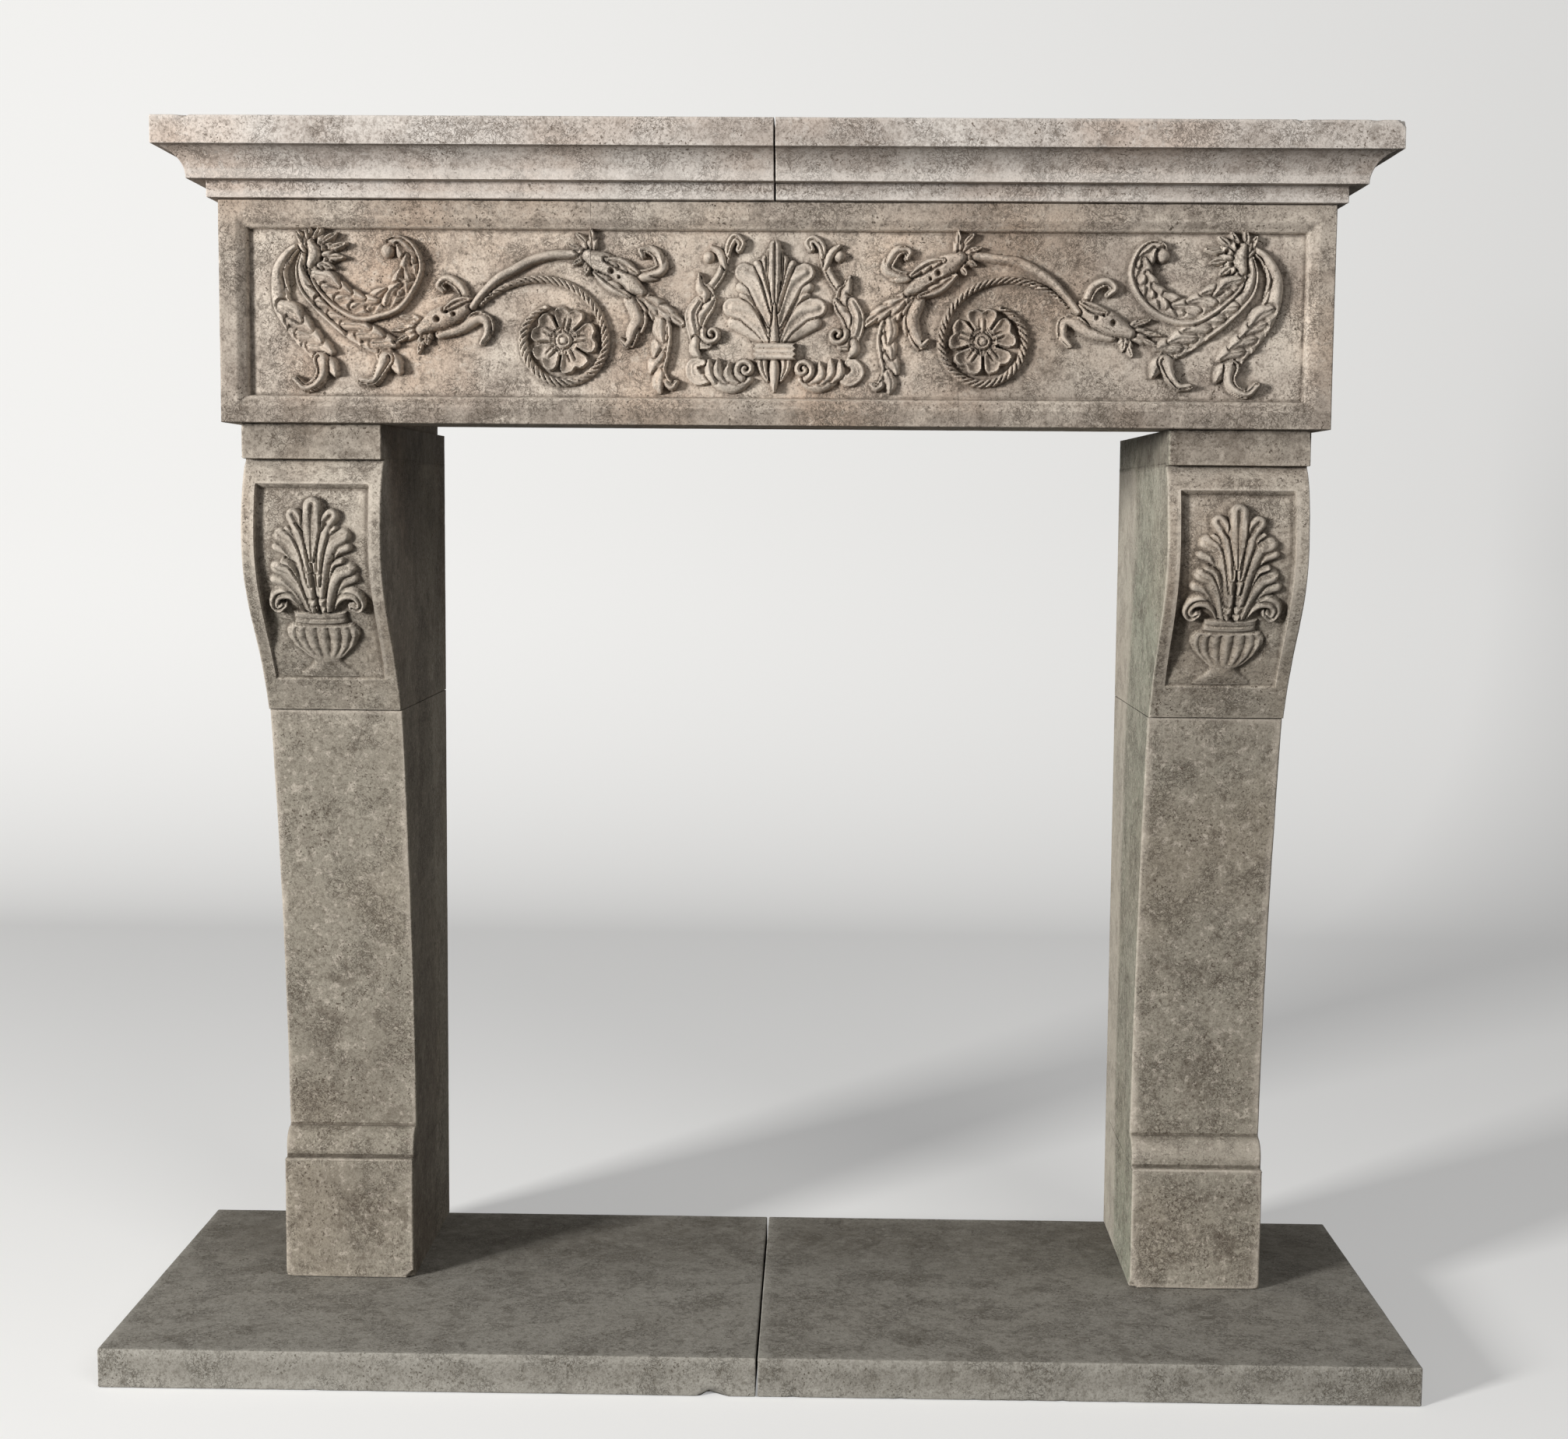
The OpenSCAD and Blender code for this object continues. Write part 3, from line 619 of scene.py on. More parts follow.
def leaf_panel(carve, seed):
    """The corbel's plant and urn: across from the middle, up from the corbel's foot."""
    rng = np.random.default_rng(seed)
    carve.strip([(0, 128), (0, 190), (0, 262)], (14, 20, 8), 7, dome)
    for side in (-1, 1):
        def at(*places):
            return [(side * a + rng.uniform(-1.2, 1.2), b + rng.uniform(-1.2, 1.2)) for a, b in places]
        for points, width, height, section in (
                (((6, 124), (18, 152), (36, 166), (53, 165), (60, 153), (54, 144), (45, 149)),
                 (6, 4, 5), 10, grooved),
                (((6, 126), (16, 160), (34, 180), (55, 187)), (6, 4, 7), 9, dome),
                (((7, 132), (15, 172), (32, 195), (47, 203)), (8, 4, 11), 13, leafy),
                (((6, 142), (13, 180), (26, 206), (41, 213)), (3, 3, 4), 14, dome),
                (((6, 154), (13, 198), (28, 223), (49, 232)), (5, 3, 7), 11, dome),
                (((7, 166), (12, 210), (25, 238), (42, 248)), (8, 4, 12), 14, leafy),
                (((5, 180), (10, 222), (20, 248), (33, 259)), (3, 3, 4), 14, dome),
                (((5, 200), (8, 236), (15, 260), (26, 276)), (5, 4, 11), 13, grooved)):
            carve.strip(at(*points), width, height, section, cut=1.3, keep=0.66)
        for start, end in (((13, 255), (21, 265)), ((22, 209), (36, 217)), ((44, 152), (48, 155))):
            carve.slit((side * start[0], start[1]), (side * end[0], end[1]), 1.5)
    carve.strip([(0, 214), (0, 256), (1, 289)], (3, 3, 14), 15, grooved, cut=1.3)
    for k in (-2, -1, 0, 1, 2):
        carve.drill((7.5 * k, 141), 1.7, 8)
    # the urn: foot, stem, gadrooned bowl and rim
    at, x, y = carve.part((-60, 46), (60, 142))
    half = np.interp(y, [50, 56, 64, 70, 75, 80, 92, 106, 114, 121, 122, 126, 138, 139],
                     [40, 38, 26, 20, 19, 27, 42, 50, 50, 44, 37, 36, 36, 37])
    lift = np.interp(y, [50, 62, 72, 79, 95, 110, 120, 121.5, 123, 126, 131, 132, 133, 138],
                     [3, 5, 6, 7, 10, 11, 9, 5, 5, 10, 10, 7, 9, 9])
    bowl = np.clip((y - 78) / 5, 0, 1) * np.clip((121 - y) / 4, 0, 1)
    across = np.arcsin(np.clip(x / half, -1, 1)) / (np.pi / 2)
    ribs = np.abs(np.sin(np.pi * (4.5 * across + 0.5)))
    shape = lift * dome(np.clip(x / half, -1, 1)) ** 0.6 * (1 - bowl * 0.34 * (1 - ribs**0.7))
    inside = np.minimum(half - np.abs(x), np.minimum(y - 50, 139 - y))
    carve.lay(at, shape, inside)


cap_h, cap_d = 48 * mm, 502 * mm
belly_d, neck_d, corbel_foot_d = 513 * mm, 480 * mm, 373 * mm
sunk_margin, sunk_top, sunk_foot, sink = 18 * mm, 33 * mm, 46 * mm, 11 * mm
for side, node in ((-1, "left_corbel"), (1, "right_corbel")):
    low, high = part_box(node)
    tall, wide = high[2] - low[2], high[0] - low[0]
    neck = tall - cap_h
    belly, waist = 0.61 * tall, 0.27 * tall
    waist_d = corbel_foot_d + 0.5 * (belly_d - corbel_foot_d)
    profile = [(corbel_foot_d, 0)]
    profile += bezier([(corbel_foot_d, 0), (corbel_foot_d + 14 * mm, 32 * mm),
                       (waist_d - 34 * mm, waist - 40 * mm), (waist_d, waist)], 20).tolist()
    profile += bezier([(waist_d, waist), (waist_d + 34 * mm, waist + 40 * mm),
                       (belly_d, belly - 52 * mm), (belly_d, belly)], 24).tolist()
    profile += bezier([(belly_d, belly), (belly_d, belly + 42 * mm), (neck_d + 22 * mm, neck - 14 * mm),
                       (neck_d, neck)], 20).tolist()
    profile += [(neck_d - 2 * mm, neck + 0.2 * mm), (cap_d - 2.5 * mm, neck + 0.4 * mm),
                (cap_d - 0.8 * mm, neck + 1 * mm), (cap_d, neck + 3 * mm), (cap_d, tall)]
    swept = sweep(profile, wide, (1.65 * mm, 1.65 * mm), 3 * mm)
    across, height = swept[0], swept[2]
    carve = Carving((across - wide / 2) / mm, height / mm)
    leaf_panel(carve, 7 + side)
    a, b = np.meshgrid(across - wide / 2, height)
    inset = np.minimum(wide / 2 - sunk_margin - np.abs(a), np.minimum(b - sunk_foot, neck - sunk_top - b))
    drift = noise(np.stack([a.ravel(), b.ravel(), np.full(a.size, side)], 1), 0.03, 115, 3).reshape(a.shape)
    fade = (b - sunk_foot + 14 * mm * drift - 0.25 * (a * side + 40 * mm)) / (50 * mm)
    cut_in = sink * np.clip(inset / (1.8 * mm), 0, 1) * np.clip(fade, 0.25, 1)
    relief = np.where(inset > 0, carve.height * mm, 0)
    points, quads, tris = facing(low, swept, 2.6 * mm, 0.04, 121 + side, cut_in - relief)
    for x, way in ((low[0], -1), (high[0], 1)):
        for start, end, count, seed in (((cap_d, neck), (cap_d, tall), 4, 131),
                                        ((belly_d, 0.5 * tall), (belly_d, 0.8 * tall), 8, 141),
                                        ((corbel_foot_d, 0), (waist_d, waist), 5, 151)):
            nicks(points, (x, wall - start[0], low[2] + start[1]), (x, wall - end[0], low[2] + end[1]),
                  (way, -1, 0), count, seed + side * way)
    nicks(points, (low[0], wall - cap_d, low[2] + neck), (high[0], wall - cap_d, low[2] + neck),
          (0, -1, -1), 7, 161 + side, 5 * mm)
    inner = inner_face(points, low, high, side)
    # painted shade on each corbel's cap, and on the left corbel's inner face, which looks away from the key
    # lamp
    stone(node + "_stone", node, warm_stone, points, quads, tris,
          0.7 * mm, 0.03, 170 + side,
          dirt_and_painted_light=0.85 * (points[:, 2] > low[2] + neck) + 0.8 * (side < 0) * inner, damp=inner * (side > 0))

# ---------- The lintel ----------
# One long block over the opening, carved in low relief inside a plain frame: from a lobed palmette
# in the middle, scrolling stems run out each way over a rosette in a ring of rope to hanging
# acanthus leaves at the ends. It is worked as a single surface and kept as three meshes.


def half_frieze(carve, side):
    """One half of the foliage: across from the middle outwards, up from the lintel's underside."""
    rng = np.random.default_rng(40 + side)
    ring = (280, 111) if side < 0 else (276, 113)

    def at(*places):
        return [(a + rng.uniform(-1.5, 1.5), b + rng.uniform(-1.5, 1.5)) for a, b in places]

    def sepals(root, tips, sway, width, height):
        """Ragged points that spring from one root, each bent a little aside."""
        for tip in tips:
            bend = ((root[0] + tip[0]) / 2 + sway[0], (root[1] + tip[1]) / 2 + sway[1])
            carve.strip(at(root, bend, tip), width, height, grooved, 2, 0, cut=2)

    # three acanthus leaves hang from the end knot, each over the next
    outer = at((628, 236), (648, 222), (658, 200), (659, 176), (653, 154), (641, 133), (628, 115),
               (613, 98), (604, 82), (602, 68), (610, 54), (626, 48), (638, 58))
    carve.strip(outer, (5, 9, 5), 14, rolled, 6, -1, deep=0.15, lean=1.0)
    carve.fronds(outer, 0.50, 0.72, 3, 1, 22, 35, 9, 12)
    carve.fronds(outer, 0.38, 0.74, 5, -1, 33, 44, 11, 16)
    carve.strip(outer[8:], (11, -2, 5), 15, turned, cut=1.6)
    middle = at((626, 222), (631, 203), (623, 181), (606, 160), (585, 142), (563, 127), (541, 113),
                (524, 101), (517, 86), (523, 70), (535, 57), (549, 56))
    carve.strip(middle, (5, 10, 5), 14, turned, 7, -1, deep=0.15, lean=1.0)
    carve.fronds(middle, 0.52, 0.74, 3, 1, 24, 36, 9, 12)
    carve.fronds(middle, 0.30, 0.78, 6, -1, 34, 40, 11, 17)
    carve.strip(middle[8:], (11, -2, 5), 15, rolled, cut=1.6)
    curl = at((618, 210), (609, 192), (593, 174), (571, 160), (550, 153), (528, 155), (509, 165),
              (492, 183), (481, 205), (484, 226), (496, 238), (509, 239), (515, 230))
    carve.strip(curl, (6, 13, 5), 16, turned)
    carve.fronds(curl, 0.06, 0.80, 9, -1, 34, 50, 9, 17)
    carve.knob(at((513, 228))[0], 10, 14)
    # the torn knot they hang from
    tips = ((634, 250), (620, 258), (602, 256), (584, 250), (570, 236), (574, 218), (588, 204))
    sepals((612, 218), tips, (3, 2), (5, 6, 3), 14)
    carve.strip(at((618, 238), (612, 224), (616, 208)), (5, 4, 6), 15, dome)
    for hole in ((610, 240), (596, 232), (602, 216)):
        carve.drill(hole, 2.8)
    # the first bud
    tips = ((497, 142), (510, 122), (505, 108), (474, 94), (462, 104))
    sepals((462, 124), tips, (0, 3), (5, 4, 2), 11)
    carve.strip(at((410, 154), (415, 172), (424, 187), (438, 192), (448, 184), (441, 176)),
                (6, 2, 4), 12, rolled)
    carve.strip(at((446, 120), (420, 128), (396, 140), (382, 138), (380, 122), (390, 108)),
                (7, 4, 4), 12, rolled, 4, -1, deep=0.25)
    carve.strip(at((470, 126), (448, 138), (424, 148), (404, 158)), (8, 9, 6), 15, dome)
    carve.strip(at((438, 152), (422, 160), (404, 166)), (4, 4, 2), 13, grooved)
    carve.drill((448, 138), 3.4)
    carve.drill((426, 145), 2.6)
    carve.drill((436, 148), 1.8)
    # the rope, which swings over the rosette and closes into a ring round it
    strand = 9.0
    angle = np.radians(np.linspace(173, 23, 26))
    reach = 55 + 66 * ((173 - np.degrees(angle)) / 150) ** 2
    swing = np.stack([ring[0] + reach * np.cos(angle), ring[1] + reach * np.sin(angle)], 1)[::-1]
    turn = np.radians(np.arange(173, 424, 8))
    closing = 55 - 6 * np.clip((np.degrees(turn) - 380) / 44, 0, 1)
    circle = np.stack([ring[0] + closing * np.cos(turn), ring[1] + closing * np.sin(turn)], 1)
    line = smooth_line(np.vstack([swing[:-1], circle]))
    length = travel(line)
    place, k, gap, left = carve.near(line, 10)
    half = np.interp(length[k] / length[-1], [0, 0.15, 0.9, 1], [3.5, 5.2, 6.2, 4])
    q = np.clip(gap / half, 0, 1) * left
    twist = np.abs(np.sin(np.pi * (length[k] / strand - 0.9 * q)))
    carve.lay(place, 12 * dome(q) ** 0.8 * (0.30 + 0.70 * twist**0.7), half - gap)
    # the rosette: five heart-shaped petals, each cupped in two lobes with a rolled rim, pleated
    # towards the boss, with a tongue up its middle
    place, x, y = carve.part(np.array(ring) - 47, np.array(ring) + 47)
    r = np.hypot(x - ring[0], y - ring[1]) + 1e-6
    first = 30 if side < 0 else 20
    sector = (np.degrees(np.arctan2(y - ring[1], x - ring[0])) - first + 36) % 72 - 36
    outline = 45 - 5 * bell(sector / 7) - 15 * np.clip((np.abs(sector) - 22) / 14, 0, 1) ** 2
    slot = r * np.sin(np.radians(36 - np.abs(sector))) - 0.4 - 0.05 * np.clip(r - 18, 0, 30)
    inside = np.minimum(outline - r, np.where(r < 19, 3, slot))
    aside = r * np.sin(np.radians(sector))
    middle = np.clip((r - 13) / 3, 0, 1) * np.clip((31 - r) / 3, 0, 1)
    cup = 8 + 4 * (r / 44) ** 2 + 3.5 * bell((inside - 2.4) / 2.2) * (r > 18)
    cup = cup - 3.5 * np.exp(-(((np.abs(aside) - 10) ** 2 + (r - 33) ** 2) / 50))
    cup = cup + middle * (2.5 * bell(aside / 2) - 4 * bell((np.abs(aside) - 3.6) / 1.1))
    cup = cup + 1.7 * np.cos(np.radians(sector) * 40) * np.clip((21 - r) / 8, 0, 1)
    petals = cup * np.clip(inside / 2.0, 0, 1) ** 0.5
    boss = np.where(r < 5, 12 + 3 * dome(np.clip(r / 5, 0, 1)), 11 + 2 * np.cos((r - 8) / 3 * np.pi))
    flower = np.where(r < 11, boss, petals * np.clip((r - 9) / 4, 0.45, 1))
    carve.lay(place, flower, np.maximum(inside, 12 - r))
    # the plain stem over the rope
    carve.strip(at((402, 154), (388, 171), (367, 191), (346, 206), (322, 217), (295, 223), (262, 226)),
                (5, 1.5, 6), 13)
    # the second bud and its trailing leaves
    tips = ((272, 236), (262, 252), (244, 254), (266, 212), (252, 200))
    sepals((240, 222), tips, (0, 2), (5, 4, 2.5), 12)
    trail = at((186, 172), (164, 154), (150, 134), (148, 112), (150, 90), (152, 68), (138, 52), (130, 56))
    carve.strip(trail, (5, 7, 4), 13, rolled, 5, 1, deep=0.15)
    carve.fronds(trail, 0.30, 0.80, 4, 1, 30, 36, 9, 12)
    carve.strip(at((190, 184), (166, 164), (142, 150), (122, 134)), (5, 7, 5), 12, grooved, 4, 0, deep=0.22)
    carve.strip(at((200, 190), (188, 164), (180, 142), (186, 122), (196, 106), (204, 114)),
                (6, 8, 3), 13, rolled, 5, -1)
    carve.strip(at((190, 196), (168, 196), (150, 206), (154, 222), (165, 232), (177, 232), (176, 222)),
                (8, 3, 4), 12, rolled, 4, 1)
    carve.strip(at((246, 222), (226, 210), (202, 194), (176, 176)), (9, 11, 6), 15, dome)
    carve.strip(at((238, 200), (216, 184), (192, 170)), (3, 6, 3), 14, grooved, 3, -1, deep=0.2)
    carve.strip(at((224, 218), (204, 212), (182, 200)), (3, 5, 4), 14, grooved, 3, 1, deep=0.2)
    carve.drill((216, 202), 3.4)
    carve.drill((206, 194), 1.8)
    # the upright scroll beside the palmette
    carve.strip(at((60, 236), (66, 216), (74, 196), (86, 180), (98, 164)), (4, 1, 6), 12, rolled, cut=1.6)
    carve.strip(at((64, 224), (60, 238), (52, 246), (44, 240), (47, 232)), (4, 2, 5), 12, grooved, cut=1.6)
    carve.knob(at((87, 223))[0], 8, 13)
    carve.strip(at((84, 236), (74, 226), (66, 208)), (3, 3, 3), 11, dome, cut=1.6)
    carve.strip(at((99, 198), (97, 184), (92, 172), (98, 152), (100, 138)),
                (2.5, 8, 5), 13, rolled, 3, 0, deep=0.2, cut=1.6)
    carve.strip(at((80, 168), (88, 156), (97, 142), (104, 120)),
                (3, 6, 5), 12, rolled, 3, 1, deep=0.2, cut=1.6)
    carve.strip(at((102, 164), (109, 146), (108, 126), (102, 108), (90, 105)),
                (7, 3, 5), 13, fluted, cut=1.6)
    carve.volute((83, 121), 12.5, 20, -1.2, 4.6, 13)
    carve.strip(at((104, 112), (106, 100), (98, 90)), (6, 3, 3), 12, dome, cut=1.6)
    # the scroll at the foot
    carve.strip(at((88, 64), (101, 62), (110, 70), (108, 82), (97, 84)), (6, 4, 5), 10, dished, cut=1.4)
    carve.strip(at((34, 60), (50, 54), (68, 56), (86, 68)), (5, 5, 6), 11, dome, cut=1.4)
    for leaflet in (((78, 60), (86, 72), (86, 88)), ((64, 58), (73, 70), (74, 88)),
                    ((50, 58), (60, 68), (61, 84))):
        carve.strip(at(*leaflet), (5, 4, 1.5), 12, leafy, cut=1.6, keep=0.65)
    carve.volute((38, 75), 13, -70, 1.35, 5.0, 13)


def palmette(carve):
    """Half of the middle palmette; its other half mirrors it. Lower lobes first, each next one over it."""
    for points, width, height, section, cut in (
            (((5, 106), (18, 122), (34, 131), (54, 136)), (6, 7, 9), 9, dome, 1.2),
            (((5, 108), (15, 134), (34, 152), (56, 156)), (6, 8, 13), 13, fluted, 1.2),
            (((5, 118), (12, 146), (26, 166), (41, 173)), (4, 4, 6), 14, dome, 1.4),
            (((5, 126), (14, 158), (29, 178), (45, 183)), (5, 5, 7), 11, dome, 1.4),
            (((4, 134), (10, 166), (22, 190), (40, 202)), (6, 8, 13), 14, fluted, 1.2),
            (((3, 152), (7, 178), (14, 198), (24, 214)), (4, 4, 5), 13, dome, 1.4),
            (((2, 170), (5, 196), (12, 219)), (3, 4, 6), 12, grooved, 1.2),
            (((1, 172), (3, 200), (6, 230)), (3, 4, 5), 13, grooved, 1.2),
            (((0, 150), (0, 196), (0, 237)), (2, 3, 8), 15, grooved, 1.2),
            (((0, 106), (0, 130), (0, 160)), (8, 0, 2), 14, dome, 1),
            (((16, 90), (15, 76), (9, 60)), (8, 1, 2), 11, grooved, 1.4),
            (((0, 90), (0, 68), (0, 46)), (5, 4, 2), 13, dome, 1.4)):
        carve.strip(points, width, height, section, cut=cut)
    # the band that ties the lobes, of two reeds
    at, x, y = carve.part((-1, 86), (30, 111))
    reeds = 10.5 + 3.5 * np.abs(np.sin(np.pi * (y - 88) / 7)) ** 0.6
    end = 27 - x - 1.5 * np.cos((y - 98.5) / 3.5 * np.pi)
    carve.lay(at, reeds, np.minimum(end, np.minimum(y - 88, 109 - y)) + 0.3, 2)


low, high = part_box("lintel")
frame_w, bevel_w, bevel_d, step_d = 22 * mm, 13 * mm, 8 * mm, 9 * mm
middle = (low[0] + high[0]) / 2
half_l, tall = (high[0] - low[0]) / 2, high[2] - low[2]
cell = 1.45 * mm
out_from_middle = np.concatenate([np.arange(0, half_l - 4 * mm, cell),
                                  half_l - mm * np.array([3, 1.7, 0.9, 0.4, 0])])
up = spread(tall, cell, 3 * mm)
halves = []
for side in (-1, 1):
    carve = Carving(out_from_middle / mm, up / mm)
    half_frieze(carve, side)
    palmette(carve)
    halves.append(carve.height)
relief = np.hstack([halves[0][:, :0:-1], halves[1]]) * mm
across = np.concatenate([-out_from_middle[:0:-1], out_from_middle])
a, b = np.meshgrid(across, up)
edge = np.minimum(half_l - np.abs(a), np.minimum(b, tall - b))
inset = edge - frame_w
ground = np.where(inset < 0, 0, bevel_d * np.clip(inset / bevel_w, 0, 1) ** 1.3)
ground = ground + step_d * np.clip((inset - bevel_w - 0.8 * mm) / (1.5 * mm), 0, 1)
flat = np.stack([a.ravel() + middle, np.zeros(a.size), b.ravel() + low[2]], 1)
worn = noise(flat, 0.012, 200, 3).reshape(a.shape)
waves = noise(flat, 0.09, 201, 2).reshape(a.shape)
relief = np.where(inset > bevel_w, relief * 1.15 * (1 + 0.07 * worn), 0)
sunk = ground + eased(edge, 2.4 * mm * (1 + 0.5 * waves)) - relief + 0.5 * mm * (worn + waves)
front = np.stack([a + middle, low[1] + np.maximum(sunk, 0), b + low[2]], -1)
# how far each point lies under the mean of those around it; then darker on the frame and its
# bevel and right of the middle, paler in the middle, and painted shade along the bottom of the frame
kernel = bell(np.linspace(-2, 2, 13))
kernel /= kernel.sum()
mean = sunk
for axis in (1, 0):
    mean = np.apply_along_axis(lambda row: np.convolve(np.pad(row, 6, "edge"), kernel, "valid"), axis, mean)
hollow = (sunk - mean) / (2.2 * mm)
darker_right_paler_middle = 0.65 * bell((a - 0.32) / 0.17) - 0.65 * bell(a / 0.17)
hollow += darker_right_paler_middle * (inset > bevel_w)
hollow += 0.6 * np.clip((bevel_w - inset) / (4 * mm), 0, 1) + 0.3 * (b < frame_w)
cuts = np.searchsorted(across, [-245 * mm, 245 * mm])
bounds = [0, cuts[0], cuts[1], len(across) - 1]
for name, first, last in zip(("lintel_left", "lintel_middle", "lintel_right"), bounds, bounds[1:]):
    part = front[:, first:last + 1]
    points, quads, tris = block(part, high[1], [0.01, 0.03, 0.08, 0.3, 0.6, 1])
    tone = np.zeros(len(points))
    tone[:part.shape[0] * part.shape[1]] = hollow[:, first:last + 1].ravel()
    nicks(points, (low[0], low[1], low[2]), (high[0], low[1], low[2]), (0, -1, -1), 60, 211, 6 * mm)
    nicks(points, (low[0], low[1], high[2]), (high[0], low[1], high[2]), (0, -1, 1), 40, 212, 6 * mm)
    for x, way in ((low[0], -1), (high[0], 1)):
        nicks(points, (x, low[1], low[2]), (x, low[1], high[2]), (way, -1, 0), 10, 213 + way, 6 * mm)
    stone(name, "lintel", warm_stone, points, quads, tris, 0.5 * mm, 0.03, 220, tone)

# ---------- The returns ----------
# A plain block behind each end of the lintel, back to the wall, that carries the shelf. Sawn
# faces, hardly dressed, since they stand in shadow.

for side, node in ((-1, "left_return"), (1, "right_return")):
    low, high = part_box(node)
    loops = upright((low[0], high[0], low[1], high[1]), low[2], high[2], cell=14 * mm)
    points, quads, tris = layers(loops, 14 * mm)
    stone(node + "_stone", node, warm_stone, points, quads, tris,
          1.2 * mm, 0.08, 230 + side)

# ---------- The shelf ----------
# Two slabs of paler, pinker limestone that meet over the middle. The moulding runs round the front
# and both ends: a small fillet, a hollow cove and a square edge, knocked here and there.

fillet_h, fillet_out = 22 * mm, 12 * mm
cove_in, cove_h = 33 * mm, 39 * mm
edge_h, edge_out = 37 * mm, 69 * mm
pale_stone = limestone("shelf limestone", "#c6bfb7", "#aea49b", "#b8a494", "#62574d", "#b0a69c")
turn = np.radians(np.linspace(0, 90, 15))
arris = 2.6 * mm * np.array([[1, 0], [0.45, 0.06], [0.12, 0.28], [0, 0.6], [0, 1]])
cove_top = fillet_h + cove_h
edge_top = cove_top + edge_h
shelf_edge = [(0.0, 0.0), (fillet_out * 0.5, 0.0)]
shelf_edge += [(fillet_out - a, b) for a, b in arris]
shelf_edge += [(fillet_out, z) for z in np.linspace(5 * mm, fillet_h - 3 * mm, 5)]
shelf_edge += [(fillet_out, fillet_h), (fillet_out + 8 * mm, fillet_h), (cove_in - 6 * mm, fillet_h)]
shelf_edge += [(edge_out - (edge_out - cove_in) * math.cos(a), fillet_h + cove_h * math.sin(a))
               for a in turn[:-1]]
shelf_edge += [(edge_out - a, cove_top + b) for a, b in arris * 0.6]
shelf_edge += [(edge_out, z) for z in np.linspace(cove_top + 4 * mm, edge_top - 5 * mm, 7)]
shelf_edge += [(edge_out - b, edge_top - a) for a, b in arris]
lintel_low, lintel_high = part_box("lintel")
for side, node in ((-1, "left_shelf"), (1, "right_shelf")):
    low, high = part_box(node)
    loops = [(lintel_low[0] - reach if side < 0 else low[0],
              high[0] if side < 0 else lintel_high[0] + reach,
              lintel_low[1] - reach, high[1], low[2] + z) for reach, z in shelf_edge]
    under = [shrunk(loops[0], s) for s in (0.05, 0.6, 0.95)]
    loops = under + loops + [shrunk(loops[-1], s) for s in np.linspace(0.02, 0.97, 18)[::-1]]
    points, quads, tris = layers(loops, 7 * mm, 1.6 * mm)
    outer = low[0] if side < 0 else high[0]
    nicks(points, (low[0], low[1], high[2]), (high[0], low[1], high[2]), (0, -1, 1), 22, 241 + side, 7 * mm)
    nicks(points, (low[0], low[1], low[2] + cove_top), (high[0], low[1], low[2] + cove_top),
          (0, -1, -1), 22, 251 + side, 6 * mm)
    nicks(points, (outer, low[1], high[2]), (outer, high[1], high[2]), (side, 0, 1), 10, 261 + side)
    if side > 0:
        bite(points, (high[0], low[1], high[2]), (1, -1, 1), 22 * mm, 8 * mm)
        bite(points, (high[0] - 132 * mm, low[1], high[2]), (0, -1, 1), 14 * mm, 4 * mm)
        bite(points, (high[0] - 38 * mm, low[1], high[2]), (0, -1, 1), 10 * mm, 4 * mm)
    else:
        bite(points, (low[0] + 44 * mm, low[1], high[2]), (0, -1, 1), 12 * mm, 4.5 * mm)
    # the fillet and cove are painted paler, as painted light where the square edge shades them, more on the
    # left shelf; towards the middle the square edge and top are darker
    in_cove = (points[:, 2] > low[2] + 2 * mm) & (points[:, 2] < low[2] + cove_top - 2 * mm)
    on_edge = bell(points[:, 0] / 0.35) * (points[:, 2] > low[2] + cove_top)
    stone(node + "_stone", node, pale_stone, points, quads, tris,
          0.9 * mm, 0.06, 270 + side, dirt_and_painted_light=0.4 * on_edge - (0.7 - 0.2 * side) * in_cove)

# ---------- The room, the light and the camera ----------
# A pale floor that turns up into a pale wall, one large soft lamp high on the left and a weaker
# one on the right.

floor_mesh = bpy.data.meshes.new("floor")
bend = np.radians(np.linspace(0, 90, 16))
run = [(-9.0, 0.0)] + [(3.0 + 1.2 * math.sin(a), 1.2 - 1.2 * math.cos(a)) for a in bend] + [(4.2, 7.0)]
verts = [(x, y, z - 0.0002) for y, z in run for x in (-9.0, 9.0)]
faces = [(2 * k, 2 * k + 1, 2 * k + 3, 2 * k + 2) for k in range(len(run) - 1)]
floor_mesh.from_pydata(verts, [], faces)
floor_mesh.shade_smooth()
floor = put("floor", floor_mesh)


def seen_share(tree):
    """1 on rays that come from the eye, or from it by way of a gloss or glass, and 0 on the rest."""
    path = add(tree, "ShaderNodeLightPath").outputs
    share = path["Is Camera Ray"]
    for kind in ("Is Glossy Ray", "Is Transmission Ray"):
        share = add(tree, "ShaderNodeMath", {"operation": "MAXIMUM"}, i0=share, i1=path[kind]).outputs[0]
    return share


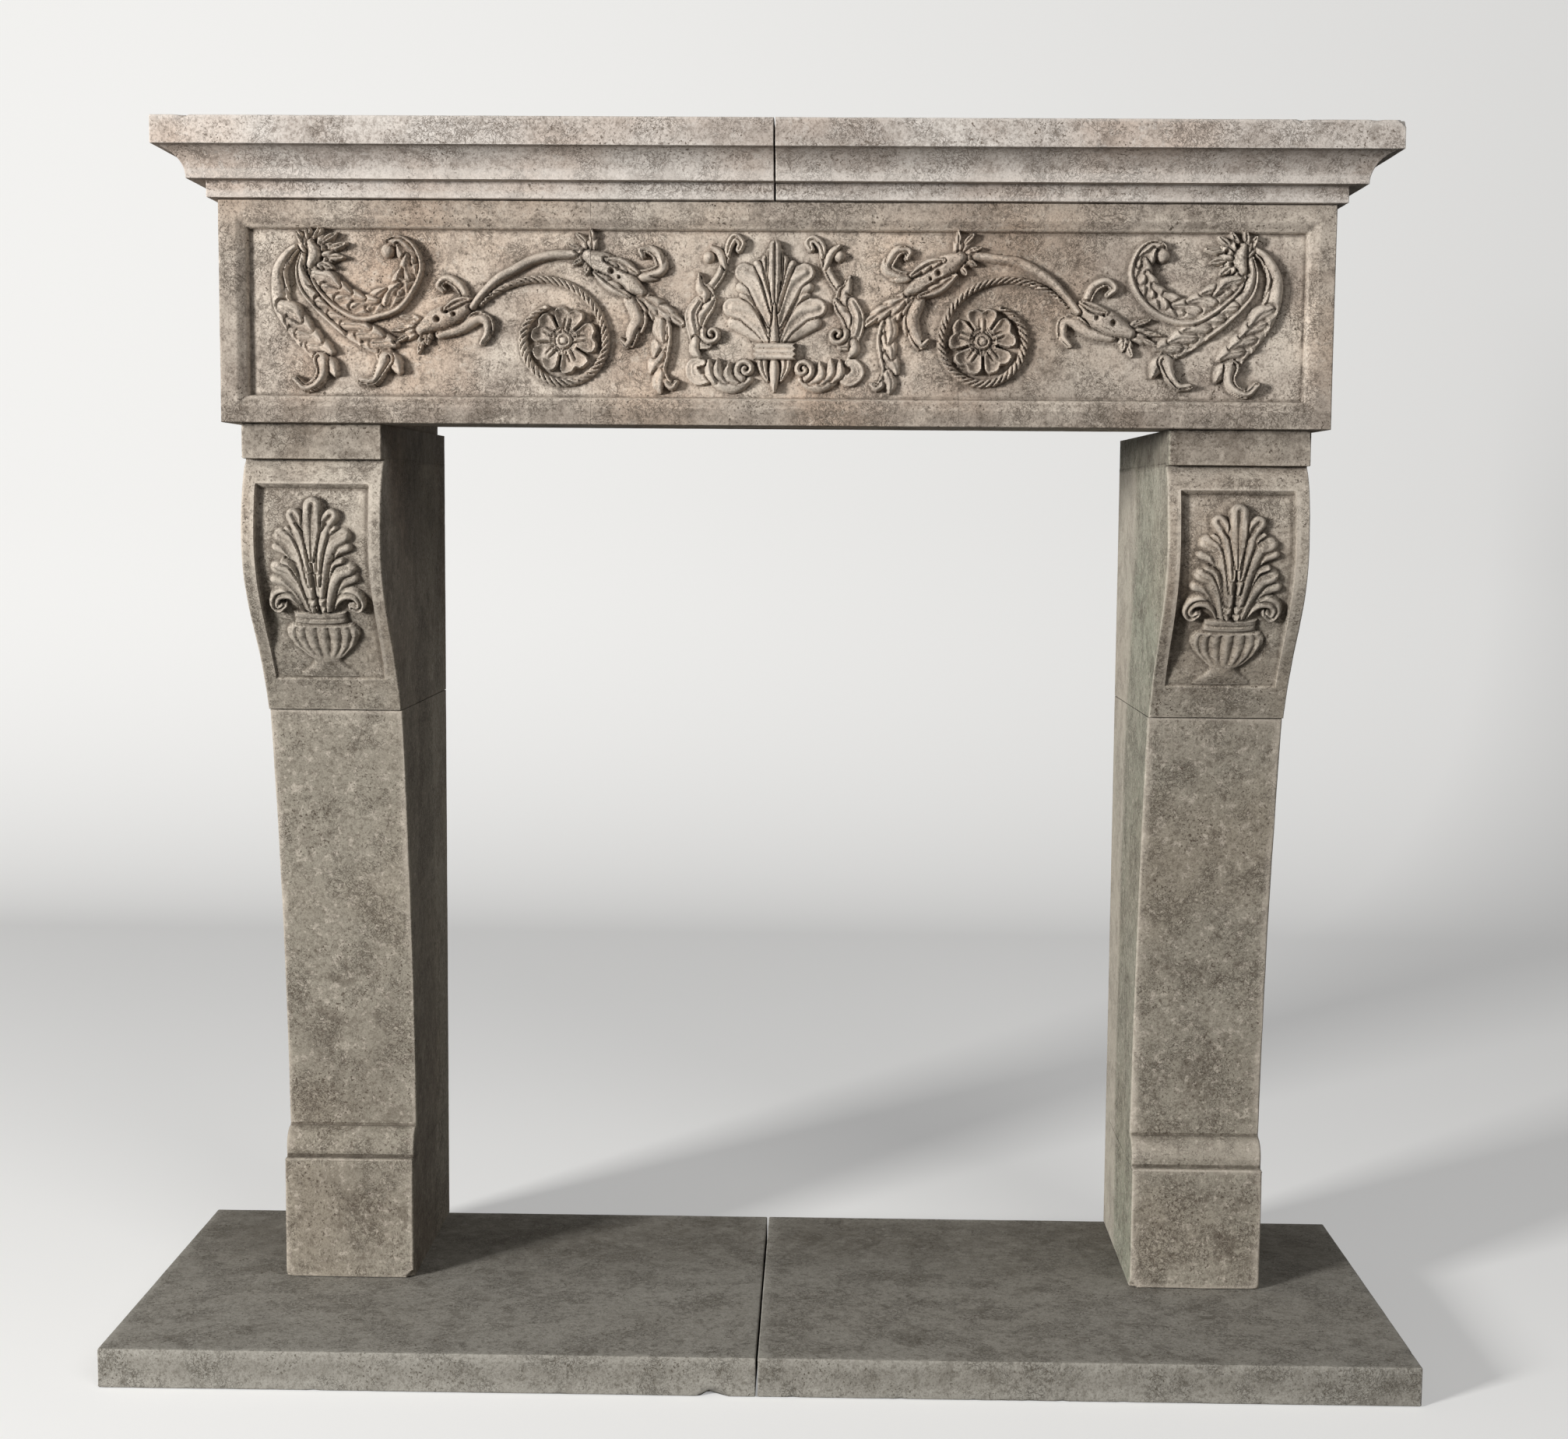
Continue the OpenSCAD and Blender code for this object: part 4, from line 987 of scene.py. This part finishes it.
# Matt paper: a pale, even ground without a gleam. Seen, it is far paler than the light that it
# gives back to the stone, and it glows a little, so it reads as almost white.
paper = bpy.data.materials.new("pale backdrop paper")
paper.use_nodes = True
tree = paper.node_tree
seen = seen_share(tree)
sheet = tree.nodes["Principled BSDF"]
colour = add(tree, "ShaderNodeMix", {"data_type": "RGBA"}, i0=seen, i6=linear("#42413f"),
             i7=linear("#d4d3d0"))
tree.links.new(colour.outputs[2], sheet.inputs["Base Color"])
sheet.inputs["Roughness"].default_value = 0.95
sheet.inputs["Specular IOR Level"].default_value = 0.1
glow = add(tree, "ShaderNodeMath", {"operation": "MULTIPLY"}, i0=seen, i1=0.30).outputs[0]
sheet.inputs["Emission Color"].default_value = (1, 1, 1, 1)
tree.links.new(glow, sheet.inputs["Emission Strength"])
floor_mesh.materials.append(paper)


def lamp(name, place, aim, size, watts):
    """A square soft lamp at a place, facing an aim."""
    data = bpy.data.lights.new(name, "AREA")
    data.size = size
    data.energy = watts
    thing = put(name, data)
    thing.location = place
    thing.rotation_euler = (Vector(aim) - Vector(place)).to_track_quat("-Z", "Y").to_euler()


lamp("key", (-5.3, -4.7, 2.0), (0.0, 0, 1.1), 1.2, 780)
lamp("fill", (2.4, -4.4, 4.0), (0.0, 0, 0.8), 2.6, 90)
world = bpy.data.worlds.new("studio")
world.use_nodes = True
tree = world.node_tree
strength = add(tree, "ShaderNodeMapRange", Value=seen_share(tree), To_Min=0.12, To_Max=0.86)
tree.nodes["Background"].inputs["Color"].default_value = (1, 1, 1, 1)
tree.links.new(strength.outputs["Result"], tree.nodes["Background"].inputs["Strength"])
bpy.context.scene.world = world

yaw, pitch, roll = -0.0179, -0.0940, 0.0077
ahead = Vector((math.sin(yaw) * math.cos(pitch), math.cos(yaw) * math.cos(pitch), math.sin(pitch)))
level = Vector((math.cos(yaw), -math.sin(yaw), 0))
above = level.cross(ahead)
right = level * math.cos(roll) + above * math.sin(roll)
above = above * math.cos(roll) - level * math.sin(roll)
camera_data = bpy.data.cameras.new("camera")
camera_data.lens = 51.44
camera_data.sensor_width = 36
camera = put("camera", camera_data)
stand = Matrix.Translation((0.08255, -3.22286, 1.19341))
camera.matrix_world = stand @ Matrix((right, above, -ahead)).transposed().to_4x4()
bpy.context.scene.camera = camera
bpy.context.scene.view_settings.view_transform = "Standard"
